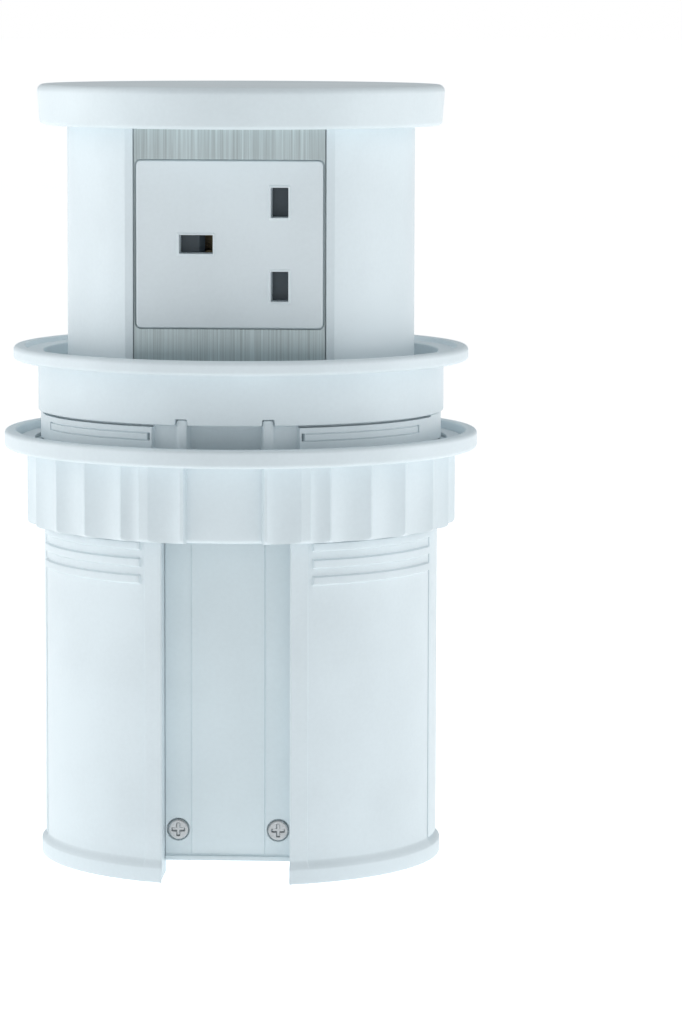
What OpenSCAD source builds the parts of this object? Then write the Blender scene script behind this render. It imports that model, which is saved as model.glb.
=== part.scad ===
// Pull-up power tower for a desk: a round column with a three-pin socket on its front and its rear
// rises out of a tube that hangs in a hole in the worktop. The tube's collar rests on the worktop,
// and a lock ring on the tube's thread clamps the worktop from below.
// +Z is up, the front faces -Y, and Z = 0 is the worktop's upper surface, under the collar's flange.
// Angles are counted from the front towards +X. Everything is in millimetres.

/* [Overall] */
// Height of the raised cap's top above the collar's top
raised_h = 71; // [68:0.5:78]
// Depth of the bottom rim below the collar's top
body_depth = 140; // [136:1:170]
// Width across the bottom rim
bottom_rim_d = 110; // [109:0.5:112]

/* [Cap] */
// Width of the cap at its top
cap_d = 111.2; // [110.6:0.2:113]
// Height of the cap
cap_h = 11; // [10:0.5:13]
// How much narrower the cap is at its lower edge
cap_taper = 1.6; // [0:0.2:2]

/* [Column] */
// Diameter of the column's round sides
column_d = 94.7; // [94.2:0.1:95.2]
// Distance of each socket face from the column's axis
face_y = 38.8; // [38.6:0.1:39]
// Width of each aluminium face plate
plate_w = 51; // [50.6:0.2:51.2]

/* [Socket] */
// Width of the socket's cover
cover_w = 49.5; // [48.8:0.1:49.5]
// Height of the socket's cover
cover_h = 44.2; // [43.6:0.2:45]
// Distance between neighbouring pins
pin_pitch = 22.2; // [22.2:0.1:22.3]
// Sideways travel of the safety shutter
shutter_travel = 6; // [5.8:0.1:6]

/* [Collar] */
// Width across the collar's flange
flange_d = 124.5; // [124:0.5:128]
// Thickness of the flange
flange_t = 3.8; // [3.6:0.1:4.2]
// Width of the skirt that stands in the worktop's hole
skirt_d = 111; // [110.8:0.1:111.1]
// Depth of the skirt below the collar's top
skirt_depth = 17.5; // [17:0.1:17.5]

/* [Lower body] */
// Outer diameter of the two tube shells
shell_d = 107.4; // [107.2:0.1:107.6]
// Width of the flat channel at the front and at the rear
channel_w = 34; // [33.6:0.1:34.2]
// Distance of the channel's floor from the axis
channel_y = 43; // [42.8:0.1:43.4]
// Distance from one thread turn to the next
thread_pitch = 4.5; // [4.4:0.1:4.6]

/* [Lock ring] */
// Width across the lock ring's flange
ring_flange_d = 129.5; // [128:0.5:134]
// Width across the lock ring's grip
grip_d = 117.5; // [117:0.1:118]
// Height of the whole lock ring
ring_h = 25.5; // [25:0.1:26]
// Depth of the ring's top below the collar's top
ring_drop = 23; // [22.8:0.1:23.2]

/* [Hidden] */
$fn = 96;
eps = 0.02;          // overreach of a cut past the face that it cuts

// Heights
top_z = flange_t;                      // the collar's top
ledge_z = top_z - 1.2;                 // the sunk ledge that the cap lands on
skirt_z = top_z - skirt_depth;
cap_top_z = top_z + raised_h;
cap_low_z = cap_top_z - cap_h;
bottom_z = top_z - body_depth;
head_low_z = top_z - 25;               // where the head ring meets the shells
column_low_z = top_z - 14;
socket_z = cap_top_z - 41.7;           // height of the socket's middle
ring_top_z = top_z - ring_drop;
ring_low_z = ring_top_z - ring_h;

// Collar and head ring
flange_r = flange_d / 2;
skirt_r = skirt_d / 2;
collar_bore_r = skirt_r - 1.6;
ledge_r = flange_r - 3.7;
tube_bore_r = 52.1;                    // bore that the column's base slides in
sleeve_r = collar_bore_r - 0.3;
head_r = 54.8;
key_angle = 12;                        // middle of each key rib, from the front or the rear
key_half_angle = 1.4;
panel_angle = 20.8;                    // edge of the plain front and rear sectors
latch_angles = [21.6, 65.4];           // ends of each snap latch

// Tube
shell_r = shell_d / 2;
rim_r = bottom_rim_d / 2;
rim_z = bottom_z + 5.7;                // top of the wider bottom rim
channel_x = channel_w / 2;
channel_wall = 2;
channel_wall_y = channel_y - 3;        // where the channel's walls end inside the tube
panel_t = 1.5;
border_w = 4.7;                        // raised border beside the channel
border_r = shell_r + 0.4;
thread_r = shell_r + 0.65;
thread_count = 8;
thread_low_z = top_z - 59;             // middle of the lowest thread turn
strip_r = shell_r + 0.2;
strip_angles = [76, 104];
base_z = bottom_z + 4;                 // underside of the base plate
base_t = 3.2;
base_top_z = base_z + base_t;
panel_low_z = bottom_z + 4.7;
panel_screw_x = 13.4;
panel_screw_z = bottom_z + 13;
base_screw_r = 48.4;
base_screw_angles = [45, 135, 225, 315];
boss_top_z = bottom_z + 22;

// Lock ring
ring_flange_r = ring_flange_d / 2;
grip_r = grip_d / 2;
ring_flange_t = 4.9;
ring_bore_r = 55.2;
dish_r = 61;
dish_depth = 3.2;
washer_t = 1;
grip_panel_angle = 10.3;               // half of the plain panel between the flutes
// Flutes of the grip from the front round to one side: both edges' angles, and the depth
flutes = [[11.3, 20.2, 1.6], [22.7, 28.1, 1.1], [28.5, 40.4, 2], [40.8, 52.7, 2],
          [53.1, 66, 2], [66.4, 77.9, 2], [78.3, 89.8, 2]];

// Column
column_r = column_d / 2;
column_wall = 2;
plate_t = 1.2;
rebate_x = plate_w / 2 + 0.15;
rebate_y = face_y - plate_t - 0.1;
bevel_w = 2.2;                         // width of the bevel beside each flat face
lip_x = 21.2;                          // inner edge of the lips behind a face plate
lip_w = 5.8;
lip_t = 1.7;
channel_screw = [33, 26];              // screw channels inside the column's shells
carrier_t = 2.4;
cap_in_r = 52.9;
cap_screw_places = [[36, 0], [-36, 0], [0, 30], [0, -30]];
base_r = 51.75;
base_floor_t = 3;
base_skirt_h = 13;
base_notch = [channel_x + channel_wall + 0.6, 39.6];   // half-width and start of the notch

// Socket, measured back from the face of its cover
cover_t = 1.5;
cover_proud = 0.25;
cover_y = face_y + cover_proud;        // distance of the cover's face from the axis
earth_x = -8.9;
pole_x = earth_x + pin_pitch;
pole_z = pin_pitch / 2;
earth_slot = [8.8, 4.8];
pole_slot = [4.5, 7.8];
chimney_end = 4.75;                    // depth of the slots' inner ends
shutter_near = chimney_end + 0.2;
shutter_far = shutter_near + 1.5;
chamber_end = shutter_far + 0.2;
socket_depth = 22.5;
socket_half = [20.4, 20.9];
pocket_end = 20.6;
spring_place = [-0.6, 8.4, 4.6];       // x of the pushed end, height above the middle, depth
spring_wall_x = -19.4;

// Inner lead
lead_r = 3;
lead_coil_r = 27;
lead_turns = 3.5;
lead_low_z = bottom_z + 26;
lead_high_z = top_z - 31;

function at(angle, r) = [r * sin(angle), -r * cos(angle)];
function arc(x, y, r, from, to, steps) =
  [for (i = [0:steps]) let (a = from + (to - from) * i / steps) [x + r * cos(a), y + r * sin(a)]];

// ---- Shared shapes ----

// Ring between two radii and two heights
module ring(outer, inner, low, high) {
  translate([0, 0, low]) difference() {
    cylinder(r = outer, h = high - low);
    translate([0, 0, -eps]) cylinder(r = inner, h = high - low + 2 * eps);
  }
}

// Wedge of space between two angles less than 180 apart, from the axis out past every part
module wedge(from, to, low, high) {
  middle = (from + to) / 2;
  translate([0, 0, low]) linear_extrude(high - low)
    polygon([[0, 0], at(from, 95), at(middle, 130), at(to, 95)]);
}

// Part of a ring between two angles
module ring_part(outer, inner, low, high, from, to) {
  intersection() {
    ring(outer, inner, low, high);
    wedge(from, to, low - 1, high + 1);
  }
}

// Box by its lowest and highest corners
module box(low, high) {
  translate(low) cube(high - low);
}

// The same thing at the front and turned half round to the rear
module front_and_rear() {
  for (turn = [0, 180]) rotate([0, 0, turn]) children();
}

// The same thing on +X and mirrored to -X
module left_and_right() {
  children();
  mirror([1, 0, 0]) children();
}

// Upright rounded block, rounded in its front view: size is [width, height]
module rounded_slab(size, corner, near, far) {
  rotate([90, 0, 0]) translate([0, 0, near]) linear_extrude(far - near) union() {
    square([size[0] - 2 * corner, size[1]], center = true);
    square([size[0], size[1] - 2 * corner], center = true);
    for (sx = [-1, 1], sz = [-1, 1])
      translate([sx * (size[0] / 2 - corner), sz * (size[1] / 2 - corner)])
        circle(r = corner, $fn = 32);
  }
}

// Pan head screw along +Z, its head's underside at the origin; the head hangs below
module screw(head_r, head_h, shank_r, length) {
  difference() {
    translate([0, 0, -head_h]) cylinder(r = head_r, h = head_h, $fn = 32);
    for (turn = [0, 90]) rotate([0, 0, turn])
      translate([-head_r * 0.62, -head_r * 0.13, -head_h - eps])
        cube([head_r * 1.24, head_r * 0.26, head_h * 0.6 + eps]);
  }
  translate([0, 0, -eps]) cylinder(r = shank_r, h = length + eps, $fn = 32);
}

// Ring of points around one place on a helix
function helix_ring(radius, wire, start, rise, sides, turn) =
  [for (k = [0:sides - 1]) let (a = 360 * k / sides, r = radius + wire * cos(a))
    [r * cos(360 * turn), r * sin(360 * turn), start + rise * turn + wire * sin(a)]];

// Coiled wire along +Z
module helix(radius, wire, turns, start, end, sides, rings_per_turn) {
  rings = ceil(turns * rings_per_turn);
  rise = (end - start) / turns;
  points = [for (i = [0:rings]) each
    helix_ring(radius, wire, start, rise, sides, turns * i / rings)];
  walls = [for (i = [0:rings - 1], k = [0:sides - 1]) let (n = (k + 1) % sides)
    each [[i * sides + k, i * sides + n, (i + 1) * sides + n],
          [i * sides + k, (i + 1) * sides + n, (i + 1) * sides + k]]];
  first = [for (k = [0:sides - 1]) sides - 1 - k];
  last = [for (k = [0:sides - 1]) rings * sides + k];
  polyhedron(points, concat([first], walls, [last]));
}

// ---- Housing ----

// Trim collar: rounded flange, sunk ledge and skirt
module collar() {
  color("#dfe8ec") difference() {
    rotate_extrude($fn = 128) polygon(concat(
      [[collar_bore_r, skirt_z]], [[skirt_r, skirt_z]], [[skirt_r, 0]],
      [[flange_r - 0.9, 0]],
      arc(flange_r - 0.9, 0.9, 0.9, -90, 0, 5),
      arc(flange_r - 1.2, top_z - 1.2, 1.2, 0, 90, 6),
      [[ledge_r + 1, top_z]], [[ledge_r, top_z - 0.4]], [[ledge_r - 0.4, ledge_z]],
      [[collar_bore_r + 0.4, ledge_z]], [[collar_bore_r, ledge_z - 0.4]]));
    front_and_rear() left_and_right()
      wedge(key_angle - key_half_angle - 0.35, key_angle + key_half_angle + 0.35,
            skirt_z - 1, skirt_z + 1.6);
  }
}

// Thin grooves that outline one snap latch, with a wider gap at its free end
module latch_grooves() {
  high = skirt_z - 2.3;
  low = high - 1.9;
  for (z = [low, high])
    ring_part(head_r + 1, head_r - 0.8, z - 0.16, z + 0.16, latch_angles[0], latch_angles[1]);
  ring_part(head_r + 1, head_r - 2.2, low, high, latch_angles[0], latch_angles[0] + 0.6);
  ring_part(head_r + 1, head_r - 1.2, low, high, latch_angles[1] - 0.7, latch_angles[1]);
}

// Upper ring of the tube, inside the collar's skirt, with key ribs and snap latches
module head_ring() {
  band_z = skirt_z - 0.15;
  color("#dbe4e9") difference() {
    union() {
      ring(sleeve_r, tube_bore_r, head_low_z, top_z - 4.6);
      ring(tube_bore_r + 0.5, 50.5, top_z - 11, top_z - 9.2);
      difference() {
        ring(head_r, tube_bore_r, head_low_z, band_z);
        front_and_rear() ring_part(head_r + 1, head_r - 1.4, head_low_z - 1, band_z + 1,
                                   -panel_angle, panel_angle);
        front_and_rear() left_and_right() {
          ring_part(head_r + 1, head_r - 1.9, band_z - 0.55, band_z + 1, panel_angle, 74);
          latch_grooves();
        }
      }
      front_and_rear() {
        box([-12, -52, head_low_z], [12, -48.5, band_z]);
        left_and_right() ring_part(head_r, tube_bore_r, head_low_z, skirt_z + 1.4,
                                   key_angle - key_half_angle, key_angle + key_half_angle);
      }
    }
    front_and_rear() intersection() {
      wedge(key_half_angle - key_angle, key_angle - key_half_angle, head_low_z - 1, band_z);
      box([-20, -60, head_low_z - 1], [20, -50, band_z]);
    }
  }
}

// Guide that the column slides through; its underside stops the raised column
module guide_bush() {
  color("#e4e7e8") translate([0, 0, top_z - 13.6]) linear_extrude(2.6) difference() {
    circle(r = tube_bore_r - 0.06);
    intersection() {
      circle(r = column_r + 0.4);
      square([120, 2 * (face_y + 1)], center = true);
    }
  }
}

// Half of the tube on +X, from the front channel round to the rear one
module shell() {
  difference() {
    union() {
      ring_part(shell_r, tube_bore_r, bottom_z, head_low_z, 0, 179.9);
      for (turn = [0:thread_count - 1]) {
        z = thread_low_z + turn * thread_pitch;
        for (side = [0, 90])
          ring_part(thread_r, tube_bore_r, z - 1.1, z + 1.1,
                    side == 0 ? 22 : 105, side == 0 ? 75 : 158);
      }
      ring_part(rim_r, tube_bore_r, bottom_z, rim_z - 0.7, 0, 179.9);
      intersection() {
        translate([0, 0, rim_z - 0.7]) difference() {
          cylinder(r1 = rim_r, r2 = shell_r + 0.05, h = 0.7);
          translate([0, 0, -1]) cylinder(r = tube_bore_r, h = 3);
        }
        box([0, -80, rim_z - 1], [80, 80, rim_z + 1]);
      }
      for (side = [-1, 1]) intersection() {
        ring(border_r, tube_bore_r, rim_z - 0.3, head_low_z);
        box([channel_x, side < 0 ? -60 : 40, rim_z - 1],
            [channel_x + border_w, side < 0 ? -40 : 60, head_low_z]);
      }
      for (side = [-1, 1]) intersection() {
        union() {
          box([channel_x, side < 0 ? -60 : channel_wall_y, bottom_z + 1],
              [channel_x + channel_wall, side < 0 ? -channel_wall_y : 60, head_low_z - 0.3]);
          box([14.2, side < 0 ? -channel_y + panel_t : channel_wall_y, boss_top_z],
              [channel_x + channel_wall, side < 0 ? -channel_wall_y : channel_y - panel_t,
               head_low_z - 0.3]);
        }
        translate([0, 0, bottom_z]) cylinder(r = shell_r - 0.5, h = body_depth);
      }
      for (angle = [45, 135]) translate(at(angle, base_screw_r))
        translate([0, 0, base_top_z]) cylinder(r = 3.9, h = boss_top_z - base_top_z, $fn = 32);
    }
    box([-60, -80, bottom_z - 1], [channel_x, -channel_y + panel_t, head_low_z + 1]);
    box([-60, channel_y - panel_t, bottom_z - 1], [channel_x, 80, head_low_z + 1]);
    ring_part(rim_r + 5, shell_r - 0.8, rim_z, head_low_z + 1, strip_angles[0], strip_angles[1]);
    for (angle = [45, 135]) translate(at(angle, base_screw_r))
      translate([0, 0, base_top_z - 1]) cylinder(r = 1.3, h = 13, $fn = 32);
  }
}

module right_shell() { color("#dde6ea") shell(); }
module left_shell() { color("#dde6ea") rotate([0, 0, 180]) shell(); }

// Cover strip let into the side of one shell
module right_side_strip() {
  color("#d6e0e5") ring_part(strip_r, shell_r - 0.8, rim_z + 0.3, head_low_z - 0.3,
                             strip_angles[0] + 0.25, strip_angles[1] - 0.25);
}
module left_side_strip() { rotate([0, 0, 180]) right_side_strip(); }

// Flat floor of one channel, with a raised middle, a foot lip and two countersunk holes
module channel_panel() {
  high = head_low_z - 0.4;
  color("#cfdae0") difference() {
    union() {
      box([-channel_x + 0.1, -channel_y, panel_low_z], [channel_x - 0.1, -channel_y + panel_t, high]);
      box([-9.8, -channel_y - 0.35, panel_low_z + 1.6], [9.8, -channel_y + 0.1, high]);
      box([-channel_x + 0.1, -channel_y - 0.8, panel_low_z],
          [channel_x - 0.1, -channel_y + 0.1, panel_low_z + 1.3]);
    }
    for (side = [-1, 1]) translate([side * panel_screw_x, -channel_y, panel_screw_z])
      rotate([90, 0, 0]) {
        translate([0, 0, -3]) cylinder(r = 1.6, h = 6, $fn = 32);
        translate([0, 0, -0.7]) cylinder(r = 2.95, h = 3, $fn = 48);
      }
  }
}
module front_channel_panel() { channel_panel(); }
module rear_channel_panel() { rotate([0, 0, 180]) channel_panel(); }

module channel_panel_screws() {
  color("silver") front_and_rear() for (side = [-1, 1])
    translate([side * panel_screw_x, -channel_y + 0.7, panel_screw_z])
      rotate([-90, 0, 0]) screw(2.75, 1.1, 1.3, 7);
}

// Bottom of the tube, with bosses for the channel panels' screws and posts for the cord clamp
module base_plate() {
  color("#d3dce1") difference() {
    union() {
      difference() {
        translate([0, 0, base_z]) cylinder(r = tube_bore_r - 0.1, h = base_t);
        front_and_rear()
          box([-channel_x - channel_wall - 0.1, -60, base_z - 1],
              [channel_x + channel_wall + 0.1, -channel_wall_y + 0.1, base_top_z + 1]);
      }
      front_and_rear() for (side = [-1, 1])
        translate([side * panel_screw_x - 3.4, -channel_y + panel_t + 0.1, base_z + 1])
          cube([6.8, 7, 16]);
      for (side = [-1, 1]) translate([side * 12, 22, base_z]) cylinder(r = 3.2, h = 10, $fn = 32);
    }
    translate([0, 0, base_z - 1]) cylinder(r = 8.05, h = base_t + 2, $fn = 64);
    front_and_rear() for (side = [-1, 1])
      translate([side * panel_screw_x, -channel_y + panel_t, panel_screw_z])
        rotate([-90, 0, 0]) translate([0, 0, -1]) cylinder(r = 1.3, h = 8, $fn = 32);
    for (angle = base_screw_angles) translate(at(angle, base_screw_r))
      translate([0, 0, base_z - 1]) cylinder(r = 1.5, h = base_t + 2, $fn = 32);
    for (side = [-1, 1]) translate([side * 12, 22, base_z + 3]) cylinder(r = 1.2, h = 8, $fn = 32);
  }
}

module base_screws() {
  color("silver") for (angle = base_screw_angles)
    translate(at(angle, base_screw_r)) translate([0, 0, base_z]) screw(2.8, 1.6, 1.25, 12);
}

// Cable gland: hexagon head under the base plate and a tube through it
module gland_body() {
  color("#c9cfd2") difference() {
    union() {
      translate([0, 0, bottom_z + 0.5]) cylinder(r = 12, h = base_z - bottom_z - 0.5, $fn = 6);
      translate([0, 0, base_z - 0.5]) cylinder(r = 8, h = 16, $fn = 64);
    }
    translate([0, 0, bottom_z]) cylinder(r = 6, h = 30, $fn = 64);
  }
}
module gland_nut() {
  color("#c9cfd2") translate([0, 0, base_top_z]) difference() {
    cylinder(r = 11.5, h = 5, $fn = 6);
    translate([0, 0, -1]) cylinder(r = 8.02, h = 7, $fn = 64);
  }
}
module gland_seal() {
  color("#3b3d40") ring(6, 4.25, bottom_z + 1.2, bottom_z + 15.2);
}

// Bar that grips the cord inside, arched over it
module cord_clamp() {
  color("#c9cfd2") difference() {
    box([-15.5, 19, base_z + 10], [15.5, 25, base_z + 16]);
    translate([0, 15, base_z + 10]) rotate([-90, 0, 0]) cylinder(r = 4, h = 14, $fn = 48);
    for (side = [-1, 1]) translate([side * 12, 22, base_z]) cylinder(r = 1.4, h = 20, $fn = 32);
  }
}
module cord_clamp_screws() {
  color("silver") for (side = [-1, 1]) translate([side * 12, 22, base_z + 16])
    mirror([0, 0, 1]) screw(2.5, 1.5, 1.15, 11);
}

// Three-pole terminal block on the base plate
module terminal_block() {
  color("#b9c0c4") difference() {
    box([-14, -30, base_top_z], [14, -20, base_top_z + 12]);
    for (pole = [-1, 0, 1]) translate([pole * 9, -25, base_top_z + 5]) {
      cylinder(r = 2.2, h = 8, $fn = 32);
      translate([0, -6, 0]) rotate([-90, 0, 0]) cylinder(r = 1.6, h = 12, $fn = 32);
    }
  }
}
module terminal_screws() {
  color("silver") for (pole = [-1, 0, 1])
    translate([pole * 9, -25, base_top_z + 10.2]) mirror([0, 0, 1]) screw(2, 1.2, 1.4, 3);
}

// Spiral lead from the terminal block up to the column; it closes up as the column goes down
module inner_lead() {
  color("#e9ebec") helix(lead_coil_r, lead_r, lead_turns, lead_low_z, lead_high_z, 8, 14);
}

// ---- Lock ring ----

// Loose washer in the ring's dish; it slides against the worktop while the ring turns
module slip_washer() {
  low = ring_top_z - dish_depth + 0.05;
  color("#d2dbe0") ring(dish_r - 0.35, skirt_r + 0.9, low, low + washer_t);
}

// Ring nut: dished flange, fluted grip with two plain panels, and thread turns in its lower end
module lock_ring() {
  flange_low = ring_top_z - ring_flange_t;
  floor_z = ring_top_z - dish_depth;
  color("#dde6ea") difference() {
    rotate_extrude($fn = 128) polygon(concat(
      [[ring_bore_r, ring_low_z + 0.6]], [[ring_bore_r + 0.6, ring_low_z]],
      arc(grip_r - 1.2, ring_low_z + 1.2, 1.2, -90, 0, 5),
      [[grip_r, flange_low]],
      arc(ring_flange_r - 1, flange_low + 1, 1, -90, 0, 5),
      arc(ring_flange_r - 1, ring_top_z - 1, 1, 0, 90, 5),
      [[dish_r + 0.7, ring_top_z]], [[dish_r, ring_top_z - 0.7]], [[dish_r, floor_z]],
      [[ring_bore_r + 0.5, floor_z]], [[ring_bore_r, floor_z - 0.5]]));
    front_and_rear() left_and_right() for (flute = flutes) {
      half = (flute[1] - flute[0]) / 2;
      rise = flute[2] - grip_r * (1 - cos(half));
      cut_r = (pow(grip_r * sin(half), 2) + rise * rise) / (2 * rise);
      translate(at(flute[0] + half, grip_r - flute[2] + cut_r))
        translate([0, 0, ring_low_z - 1]) cylinder(r = cut_r, h = flange_low - ring_low_z + 1);
    }
    front_and_rear() ring_part(grip_r + 5, grip_r - 2.1, ring_low_z + 1.6, flange_low,
                               -grip_panel_angle, grip_panel_angle);
  }
  color("#dde6ea") for (turn = [0:2]) {
    z = thread_low_z + (turn + 3.5) * thread_pitch;
    ring(ring_bore_r + 0.3, ring_bore_r - 0.5, z - 0.9, z + 0.9);
  }
}

// ---- Column ----

// Lid: slightly tapered disc with rounded edges, hollow, with screw bosses inside
module cap() {
  top_r = cap_d / 2;
  low_r = top_r - cap_taper / 2;
  color("#e2eaee") difference() {
    union() {
      difference() {
        rotate_extrude($fn = 128) polygon(concat(
          [[0, cap_low_z]],
          arc(low_r - 1.3, cap_low_z + 1.3, 1.3, -90, -8, 6),
          arc(top_r - 1.8, cap_top_z - 1.8, 1.8, 0, 90, 7),
          [[0, cap_top_z]]));
        translate([0, 0, cap_low_z - 1]) cylinder(r = cap_in_r, h = cap_h - 1.5);
      }
      for (place = cap_screw_places) translate(place)
        translate([0, 0, cap_low_z + carrier_t]) cylinder(r = 3.2, h = cap_h - carrier_t - 2, $fn = 32);
    }
    for (place = cap_screw_places) translate(place)
      translate([0, 0, cap_low_z]) cylinder(r = 1.3, h = cap_h - 3.5, $fn = 32);
  }
}

// Disc that closes the cap from below and carries it on the column
module cap_carrier() {
  color("#d3dce1") difference() {
    translate([0, 0, cap_low_z]) cylinder(r = cap_in_r - 0.1, h = carrier_t);
    for (place = cap_screw_places) translate(place)
      translate([0, 0, cap_low_z - 1]) cylinder(r = 1.5, h = 5, $fn = 32);
    for (sx = [-1, 1], sy = [-1, 1])
      translate([sx * channel_screw[0], sy * channel_screw[1], cap_low_z - 1])
        cylinder(r = 1.5, h = 5, $fn = 32);
  }
}
module cap_screws() {
  color("silver") for (place = cap_screw_places) translate(place)
    translate([0, 0, cap_low_z]) screw(2.8, 1.6, 1.25, 7);
}

// Outline of the round sides with both socket faces and their bevels cut off
module column_outline() {
  bevel_end = rebate_x + bevel_w;
  slope = (face_y - sqrt(column_r * column_r - bevel_end * bevel_end)) / bevel_w;
  past = 1.5 * bevel_w;
  difference() {
    circle(r = column_r);
    front_and_rear() polygon([
      [-rebate_x - past, -column_r - 5], [rebate_x + past, -column_r - 5],
      [rebate_x + past, -face_y + slope * past], [rebate_x, -face_y],
      [-rebate_x, -face_y], [-rebate_x - past, -face_y + slope * past]]);
  }
}

// Right half of the column: curved wall, lips behind both face plates and two screw channels
module column_shell() {
  sides = [-1, 1];
  color("#dfe8ec") difference() {
    translate([0, 0, column_low_z]) linear_extrude(cap_low_z - column_low_z) union() {
      difference() {
        intersection() {
          column_outline();
          translate([lip_x, -60]) square([60, 120]);
        }
        circle(r = column_r - column_wall);
        for (side = sides) translate([0, side * (rebate_y + 10)])
          square([2 * rebate_x, 20], center = true);
      }
      for (side = sides) translate([lip_x, side < 0 ? -rebate_y : rebate_y - lip_t])
        square([lip_w, lip_t]);
      for (side = sides) translate([channel_screw[0], side * channel_screw[1]])
        intersection() {
          circle(r = 3.9, $fn = 48);
          translate([-channel_screw[0], -side * channel_screw[1]]) circle(r = column_r - 0.5);
        }
    }
    for (side = sides, z = [column_low_z - 1, cap_low_z - 13])
      translate([channel_screw[0], side * channel_screw[1], z]) cylinder(r = 1.3, h = 14, $fn = 32);
  }
}
module column_right_shell() { column_shell(); }
module column_left_shell() { rotate([0, 0, 180]) column_shell(); }

// Outline of the column's base with its notches for the channels; inset shrinks it
module base_outline(inset) {
  difference() {
    circle(r = base_r - inset);
    front_and_rear() translate([-base_notch[0] - inset, -70])
      square([2 * (base_notch[0] + inset), 70 - base_notch[1] + inset]);
  }
}

// Sliding base: keyed by the channels, with grooves for the felt pads
module column_base() {
  low = column_low_z - base_skirt_h;
  color("#d3dce1") difference() {
    translate([0, 0, low]) linear_extrude(base_skirt_h) base_outline(0);
    translate([0, 0, low - 1]) linear_extrude(base_skirt_h + 1 - base_floor_t) base_outline(2.55);
    translate([0, 0, low]) cylinder(r = 14, h = 30);
    for (sx = [-1, 1], sy = [-1, 1])
      translate([sx * channel_screw[0], sy * channel_screw[1], column_low_z - 5])
        cylinder(r = 1.5, h = 8, $fn = 32);
    for (turn = [0, 180]) rotate([0, 0, turn])
      ring_part(base_r + 1, base_r - 1.3, low + 3, low + 7, 44, 136);
  }
}
module felt_pads() {
  low = column_low_z - base_skirt_h;
  color("#8d9398") for (turn = [0, 180]) rotate([0, 0, turn])
    ring_part(tube_bore_r - 0.08, base_r - 1.24, low + 3.05, low + 6.95, 44.5, 135.5);
}
module column_top_screws() {
  color("silver") for (sx = [-1, 1], sy = [-1, 1])
    translate([sx * channel_screw[0], sy * channel_screw[1], cap_low_z + carrier_t])
      mirror([0, 0, 1]) screw(2.8, 1.6, 1.25, 12);
}
module column_base_screws() {
  color("silver") for (sx = [-1, 1], sy = [-1, 1])
    translate([sx * channel_screw[0], sy * channel_screw[1], column_low_z - base_floor_t])
      screw(2.8, 1.6, 1.25, 12);
}

// ---- Socket, drawn for the front ----

// Brushed plate that fills one flat face, with a window for the socket's cover
module face_plate() {
  color("#b4bcc0") difference() {
    box([-plate_w / 2, -face_y, column_low_z + 0.1], [plate_w / 2, -face_y + plate_t, cap_low_z - 0.1]);
    translate([0, 0, socket_z])
      rounded_slab([cover_w + 0.4, cover_h + 0.4], 1.4, face_y - 5, face_y + 5);
  }
}

// Frame or block around one slot: grow widens the slot's size on every side
module slot_block(size, x, z, grow, near, far) {
  box([x - size[0] / 2 - grow, -cover_y + near, socket_z + z - size[1] / 2 - grow],
      [x + size[0] / 2 + grow, -cover_y + far, socket_z + z + size[1] / 2 + grow]);
}

// The three slots' outlines as blocks
module slot_blocks(grow, near, far) {
  slot_block(earth_slot, earth_x, 0, grow, near, far);
  for (side = [-1, 1]) slot_block(pole_slot, pole_x, side * pole_z, grow, near, far);
}

// Cover with a raised rim and an inner chimney around each slot
module socket_cover() {
  color("#e3eaee") difference() {
    union() {
      translate([0, 0, socket_z]) rounded_slab([cover_w, cover_h], 1.3, cover_y - cover_t, cover_y);
      slot_blocks(1, -0.3, 0.5);
      slot_blocks(0.8, 0.5, chimney_end);
    }
    slot_blocks(0, -1, chimney_end + 1);
  }
}

// Moulded body behind the cover: shutter chamber in front, three contact pockets behind
module socket_body() {
  color("#c7ced2") difference() {
    box([-socket_half[0], -cover_y + cover_t + 0.05, socket_z - socket_half[1]],
        [socket_half[0], -cover_y + socket_depth, socket_z + socket_half[1]]);
    box([-19.4, -cover_y, socket_z - 19.6], [19.4, -cover_y + chamber_end, socket_z + 19.6]);
    slot_block([9.4, 6.4], earth_x, 0, 0, 2, pocket_end);
    for (side = [-1, 1]) slot_block([6.4, 8.6], pole_x, side * pole_z, 0, 2, pocket_end);
  }
}

// Sprung clip with two blades, drawn for a pin of size [across, along], turned for the poles
module contact(x, z, turned) {
  near = chamber_end + 0.8;
  color("#c8a04a") translate([x, 0, socket_z + z]) rotate([0, turned ? 90 : 0, 0]) difference() {
    box([-3.8, -cover_y + near, -2.8], [3.8, -cover_y + pocket_end - 0.1, 2.8]);
    box([-5, -cover_y + near - 1, -2.05], [5, -cover_y + pocket_end - 0.9, 2.05]);
  }
}

// Safety shutter: two pads over the poles, linked to a bevelled block over the earth slot
module shutter() {
  near = -cover_y + shutter_near;
  far = -cover_y + shutter_far;
  pad = [pole_x - 2.95, pole_x + 2.9];
  block = [-13.3, -6.9];
  color("#6f7a80") union() {
    box([pad[0], near, socket_z - 15.6], [pad[1], far, socket_z + 15.6]);
    for (side = [-1, 1])
      translate([0, 0, socket_z + side * 4.2 - 1]) box([block[0], near, 0], [pad[0] + eps, far, 2]);
    translate([0, 0, socket_z - 5.2]) linear_extrude(10.4)
      polygon([[block[0], near], [block[1] - 1.5, near], [block[1], far], [block[0], far]]);
    box([spring_place[0], near, socket_z + 5], [spring_place[0] + 1.6, far, socket_z + 10.2]);
  }
}

// Return spring from the chamber's wall to the shutter's tab
module shutter_spring() {
  color("silver") translate([0, -cover_y + spring_place[2], socket_z + spring_place[1]])
    rotate([0, 90, 0]) helix(1.25, 0.22, 7, spring_wall_x + 0.25, spring_place[0] - 0.25, 5, 10);
}

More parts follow.
